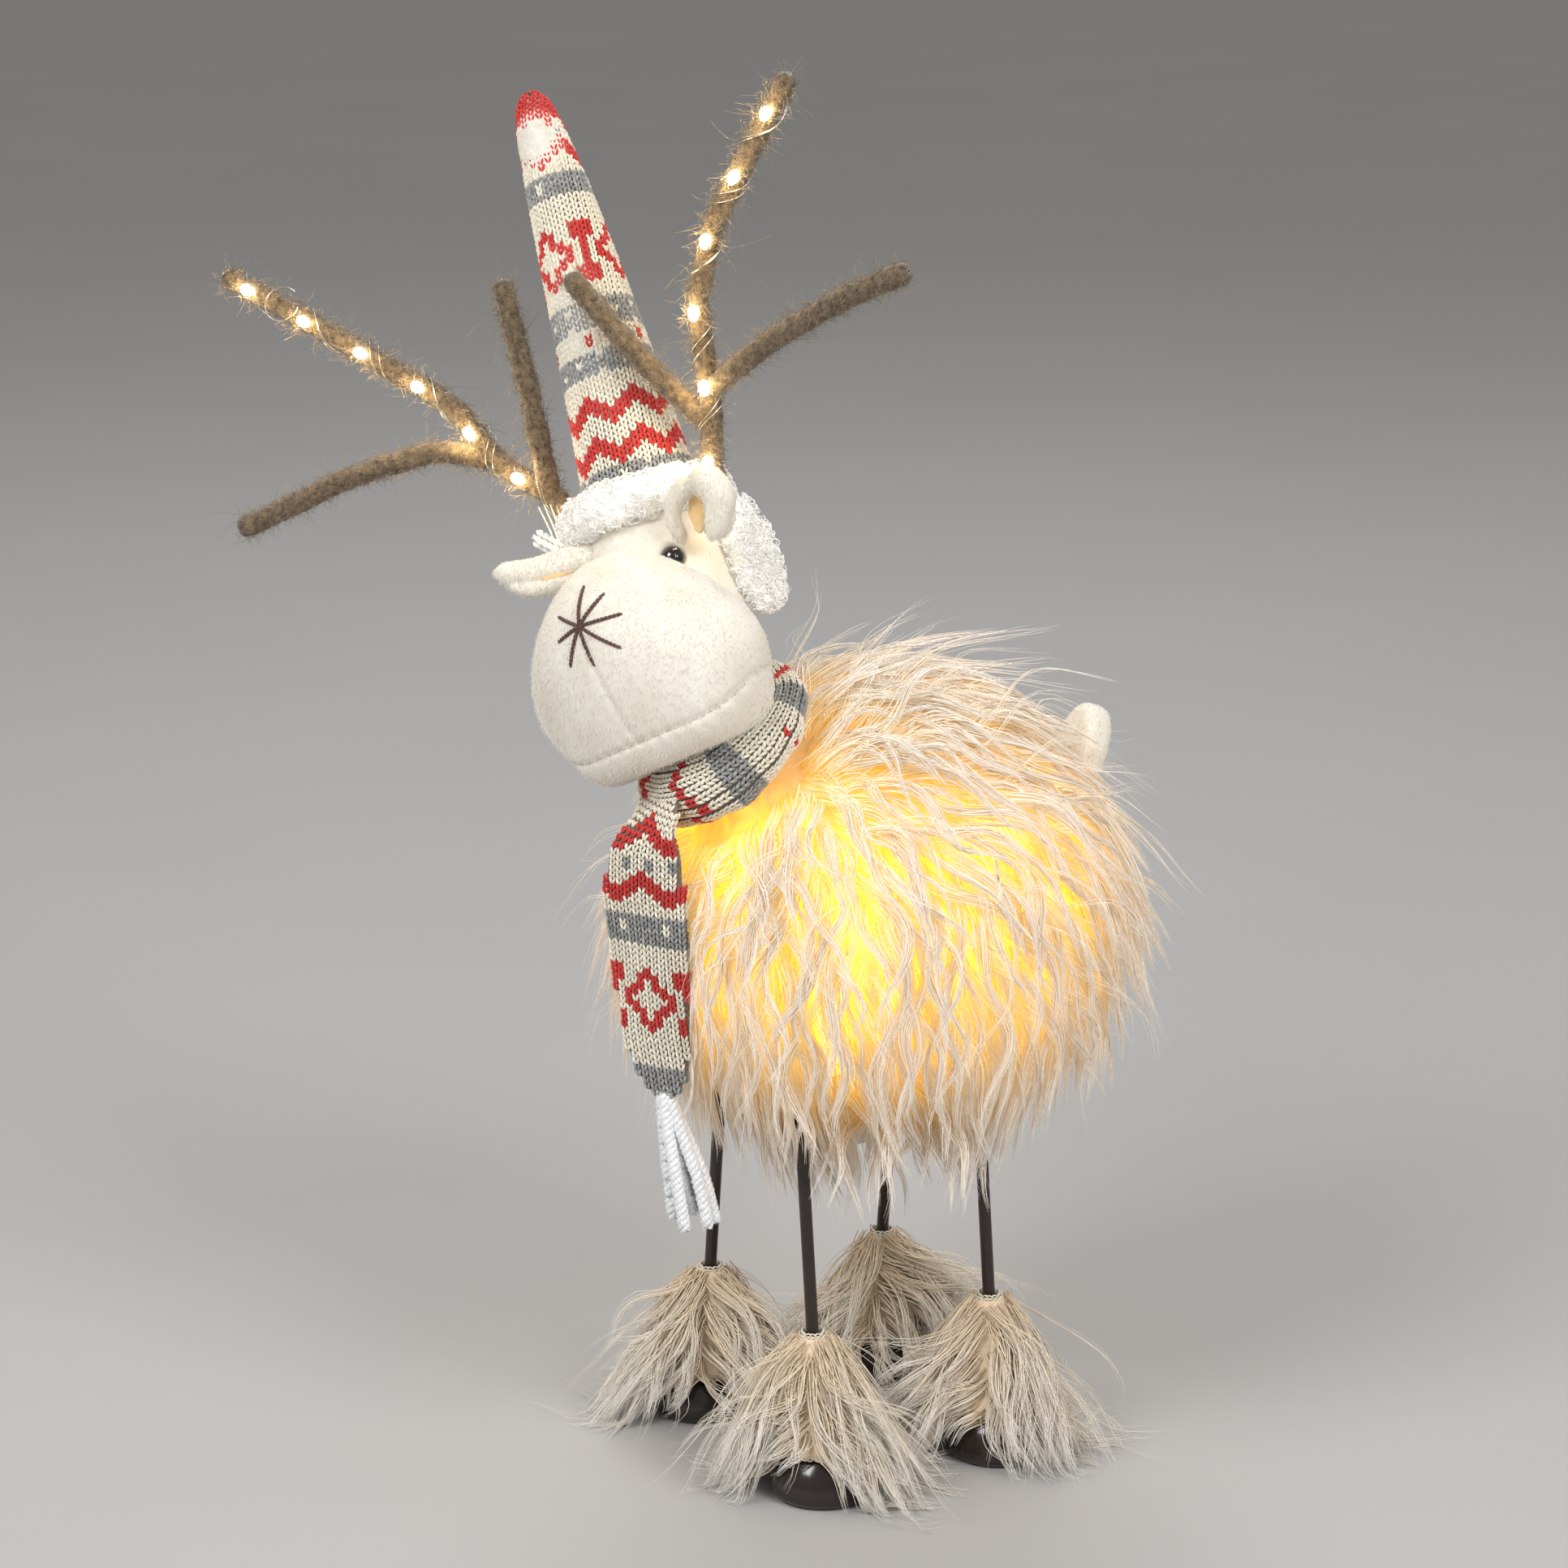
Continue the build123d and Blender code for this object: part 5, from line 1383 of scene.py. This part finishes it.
def rounded(points, bend=9.0):
    """Straight runs joined by arcs, sampled about every millimetre."""
    points = np.asarray(points, float)
    out = [points[0]]
    for before, corner, after in zip(points, points[1:], points[2:]):
        reach = min(bend, 0.45 * np.linalg.norm(corner - before), 0.45 * np.linalg.norm(after - corner))
        a, b = corner + unit(before - corner) * reach, corner + unit(after - corner) * reach
        for s in np.linspace(0, 1, 7):
            out.append(a * (1 - s) ** 2 + corner * 2 * s * (1 - s) + b * s * s)
    out.append(points[-1])
    length = np.linalg.norm(np.diff(out, axis=0), axis=1).sum()
    return resampled(out, max(8, int(length / 1.1)))


def wool_rod(points):
    """A tube of wrapped wool: oblique ridges of roving, slubs and rounded ends."""
    path = rounded(points)
    sides = 22
    count = len(path)
    first, second = frames_along(path[None], np.array([(0.1, 1.0, 0.05)]))
    length = np.linalg.norm(np.diff(path, axis=0), axis=1).sum()
    s = np.linspace(0, length, count)
    angle = np.arange(sides) * TAU / sides
    grid_s, grid_a = np.meshgrid(s, angle, indexing="ij")
    begin = np.sqrt(np.clip(1 - (1 - np.clip(s / 5.0, 0, 1)) ** 2, 0.02, 1))
    ends = begin * np.sqrt(np.clip(1 - (1 - np.clip((length - s) / 5.0, 0, 1)) ** 2, 0.02, 1))
    ridge = (0.34 * np.abs(np.sin(grid_a * 1.5 + grid_s * TAU / 17.0))
             + 0.22 * np.sin(grid_a * 4 - grid_s * TAU / 6.5))
    base = path[:, None] + (first[0][:, None] * np.cos(angle)[None, :, None]
                            + second[0][:, None] * np.sin(angle)[None, :, None]) * ANTLER_RADIUS
    slub = wander(base.reshape(-1, 3), 3.2, 21)[:, 0].reshape(count, sides) * 0.42
    radius = (ANTLER_RADIUS - 0.25 + ridge - 0.2 + slub) * ends[:, None]
    tube = path[:, None] + (first[0][:, None] * np.cos(angle)[None, :, None]
                            + second[0][:, None] * np.sin(angle)[None, :, None]) * radius[:, :, None]
    faces = [grid_faces(count, sides)]
    points = np.vstack((tube.reshape(-1, 3), path[:1], path[-1:]))
    tips = []
    for k in range(0, sides, 2):
        a, b, c = k, (k + 1) % sides, (k + 2) % sides
        tips.append((count * sides, c, b, a))
        top = (count - 1) * sides
        tips.append((count * sides + 1, top + a, top + b, top + c))
    faces.append(np.array(tips))
    return points, np.vstack(faces), path


fibre_roots, fibre_aims = [], []
for name, points in ANTLERS.items():
    tube, faces, path = wool_rod(points)
    rod = make_mesh(f"antler_wool_{name}", from_head(tube), faces, [wool])
    place(rod, "head", "antler_wool", f"antler_{name}")
    count = int(len(path) * 13)
    at = rng.integers(1, len(path) - 1, count)
    ahead = unit(path[at + 1] - path[at - 1])
    out = unit(np.cross(ahead, rng.normal(size=(count, 3))))
    fibre_roots.append(path[at] + out * (ANTLER_RADIUS - 0.3))
    fibre_aims.append(unit(out * rng.uniform(0.15, 0.9, (count, 1)) + ahead * rng.normal(size=(count, 1))
                           + np.cross(ahead, out) * rng.normal(0.6, 0.6, (count, 1))))
fibre_roots, fibre_aims = np.vstack(fibre_roots), np.vstack(fibre_aims)
length = rng.uniform(1.5, 6.5, (len(fibre_roots), 1, 1))
length = length * np.where(rng.uniform(size=length.shape) > 0.96, 2.4, 1)
steps = np.linspace(0, 1, 5)[None, :, None]
curve = rng.normal(size=(len(fibre_roots), 1, 3)) * 0.5
fibres = fibre_roots[:, None] + (fibre_aims[:, None] + curve * steps) * steps * length
fuzz = hair_piece("antler_fuzz", [(from_head(fibres.reshape(-1, 3)).reshape(fibres.shape),
                                   taper(len(fibres), 5, 0.10, tip=0.5))], wool_fibres)
place(fuzz, "head", "antler_wool")

WIRE_WIND = 38.0
bulb_parts, wire_lines, light_places = [], [], []
for stem in ("left_stem", "right_stem"):
    path = rounded(ANTLERS[stem])
    along = lengths_along(path)
    total = along[-1]
    ahead = unit(np.gradient(path, axis=0))
    forward = np.array((0.0, -1.0, 0.0))
    first = unit(forward - ahead * (ahead @ forward)[:, None])
    second = np.cross(ahead, first)

    def beside(distance, angle, radius):
        one, two = unit(read_off(distance, along, first)), unit(read_off(distance, along, second))
        round_it = one * np.cos(angle)[:, None] + two * np.sin(angle)[:, None]
        return read_off(distance, along, path) + round_it * radius[:, None]

    distance = np.linspace(4, total - 5, int(total * 1.3))
    angle = distance / WIRE_WIND * TAU
    for offset, seed in ((0.0, 1.0), (0.5, 2.3)):
        loose = ANTLER_RADIUS + 0.7 + 0.9 * np.abs(np.sin(distance * 0.11 + seed)) ** 3
        winding = angle + offset + 0.5 * np.sin(distance * 0.07 + seed)
        wire_lines.append((from_head(beside(distance, winding, loose)), 0.2))
    count = int(total / WIRE_WIND) + 1
    for bulb in range(count):
        d = np.array([total * (bulb + 0.5) / (count + 0.05)])
        centre = beside(d, np.array([0.25]), np.array([ANTLER_RADIUS + 2.4]))[0]
        axis = read_off(d, along, ahead)[0]
        light_places.append(from_head(centre + (0, -3.6, 0)))
        rows, columns = 12, 14
        polar = np.linspace(0.05, math.pi - 0.05, rows)
        stretch = np.cos(polar) * 3.9
        wide = np.sin(polar) * 2.7 * (1 + 0.18 * np.cos(polar))
        one = unit(np.cross(axis, (0.2, 0.4, 1.0)))
        two = np.cross(axis, one)
        ring_angle = (np.arange(columns) * TAU / columns)[None, :, None]
        ring = one * np.cos(ring_angle) + two * np.sin(ring_angle)
        drop = centre + stretch[:, None, None] * axis + wide[:, None, None] * ring
        bulb_parts.append((from_head(drop.reshape(-1, 3)), grid_faces(rows, columns)))
        loop = beside(d + np.linspace(-5, 5, 24), 0.25 + np.linspace(-0.5, 0.5, 24),
                      ANTLER_RADIUS + 2.6 + 1.1 * np.sin(np.linspace(0, math.pi, 24)))
        wire_lines.append((from_head(loop), 0.24))
tip = np.array(ANTLERS["right_stem"][-1], float)
inner_tip = tip + (32, 2, -32)
loop_angle = np.linspace(0.3, 5.6, 40)
wire_lines.append((from_head(inner_tip + np.column_stack((11 * np.cos(loop_angle), -9 + 0 * loop_angle,
                                                          8 * np.sin(loop_angle) + 4))), 0.26))
bulbs = make_mesh("antler_led_drops", *joined(bulb_parts), [lit_bulb])
place(bulbs, "head", "bulb", "antler_bulbs")
place(yarn_piece("antler_led_wire", wire_lines, silver_wire, 5), "head", "light_wire", "antler_light_wire")

lead_lines = []
for k in range(5):
    base = np.array((-46 + k * 2.1, 13.0 + k * 0.6, 112.0))
    lead = [base + (1, 4, -4), base + (-1.5, -1, 8), base + (-4 + k * 0.3, 2, 20), base + (-9 + k, 8, 32)]
    lead_lines.append((smooth_path(from_head(lead), 26), 0.42))
place(yarn_piece("antler_leads", lead_lines, clear_lead, 6), "head", "light_wire")

for number, spot in enumerate(light_places):
    lamp = bpy.data.lights.new(f"led_{number}", "POINT")
    lamp.energy, lamp.shadow_soft_size, lamp.color = 0.036, 0.002, (1.0, 0.74, 0.36)
    holder = bpy.data.objects.new(f"led_{number}", lamp)
    bpy.context.scene.collection.objects.link(holder)
    holder.location = spot * MM
    holder.parent = bulbs

# ---------------------------------------------------------------- floor, light and camera
FLOOR_HALF = 16000.0
floor_corners = [(-1, -1), (1, -1), (1, 1), (-1, 1)]
floor_points = [(x * FLOOR_HALF, y * FLOOR_HALF, 0.0) for x, y in floor_corners]
floor = make_mesh("floor", floor_points, np.array([(0, 1, 2, 3)]), [floor_paper])

TARGET = Vector((0, 0, 350)) + Vector((0.4966, 0.8680, 0)) * -32.8 + Vector((-0.2255, 0.1290, 0.9657)) * -7.5
HALF_FIELD = 0.966 / 5.5
VIEW_AZIMUTH, VIEW_ELEVATION, VIEW_DISTANCE = math.radians(60.2), math.radians(15.06), 2200.0
back = Vector((math.sin(VIEW_AZIMUTH) * math.cos(VIEW_ELEVATION),
               -math.cos(VIEW_AZIMUTH) * math.cos(VIEW_ELEVATION), math.sin(VIEW_ELEVATION)))
camera_data = bpy.data.cameras.new("camera")
camera_data.angle = 2 * math.atan(HALF_FIELD)
camera = bpy.data.objects.new("camera", camera_data)
bpy.context.scene.collection.objects.link(camera)
camera.location = (TARGET + back * VIEW_DISTANCE) * MM
camera.rotation_mode = "QUATERNION"
camera.rotation_quaternion = (-back).to_track_quat("-Z", "Y")
bpy.context.scene.camera = camera


def softbox(name, azimuth, elevation, distance, size, energy, colour=(1, 1, 1)):
    data = bpy.data.lights.new(name, "AREA")
    data.shape, data.size, data.size_y = "RECTANGLE", size, size
    data.energy, data.color = energy, colour
    box = bpy.data.objects.new(name, data)
    bpy.context.scene.collection.objects.link(box)
    a, e = math.radians(azimuth), math.radians(elevation)
    away = Vector((math.sin(a) * math.cos(e), -math.cos(a) * math.cos(e), math.sin(e)))
    box.location = Vector((0, 0, 0.35)) + away * distance
    box.rotation_mode = "QUATERNION"
    box.rotation_quaternion = away.to_track_quat("Z", "Y")


softbox("key_softbox", 15, 40, 2.4, 1.0, 35)
softbox("fill_softbox", 100, 34, 2.4, 1.0, 30)
softbox("rear_softbox", 240, 50, 2.8, 1.4, 24)
world = bpy.data.worlds.new("studio")
world.use_nodes = True
world.node_tree.nodes["Background"].inputs["Color"].default_value = (0.90, 0.89, 0.87, 1)
world.node_tree.nodes["Background"].inputs["Strength"].default_value = 0.42
bpy.context.scene.world = world
bpy.context.scene.view_settings.view_transform = "Standard"
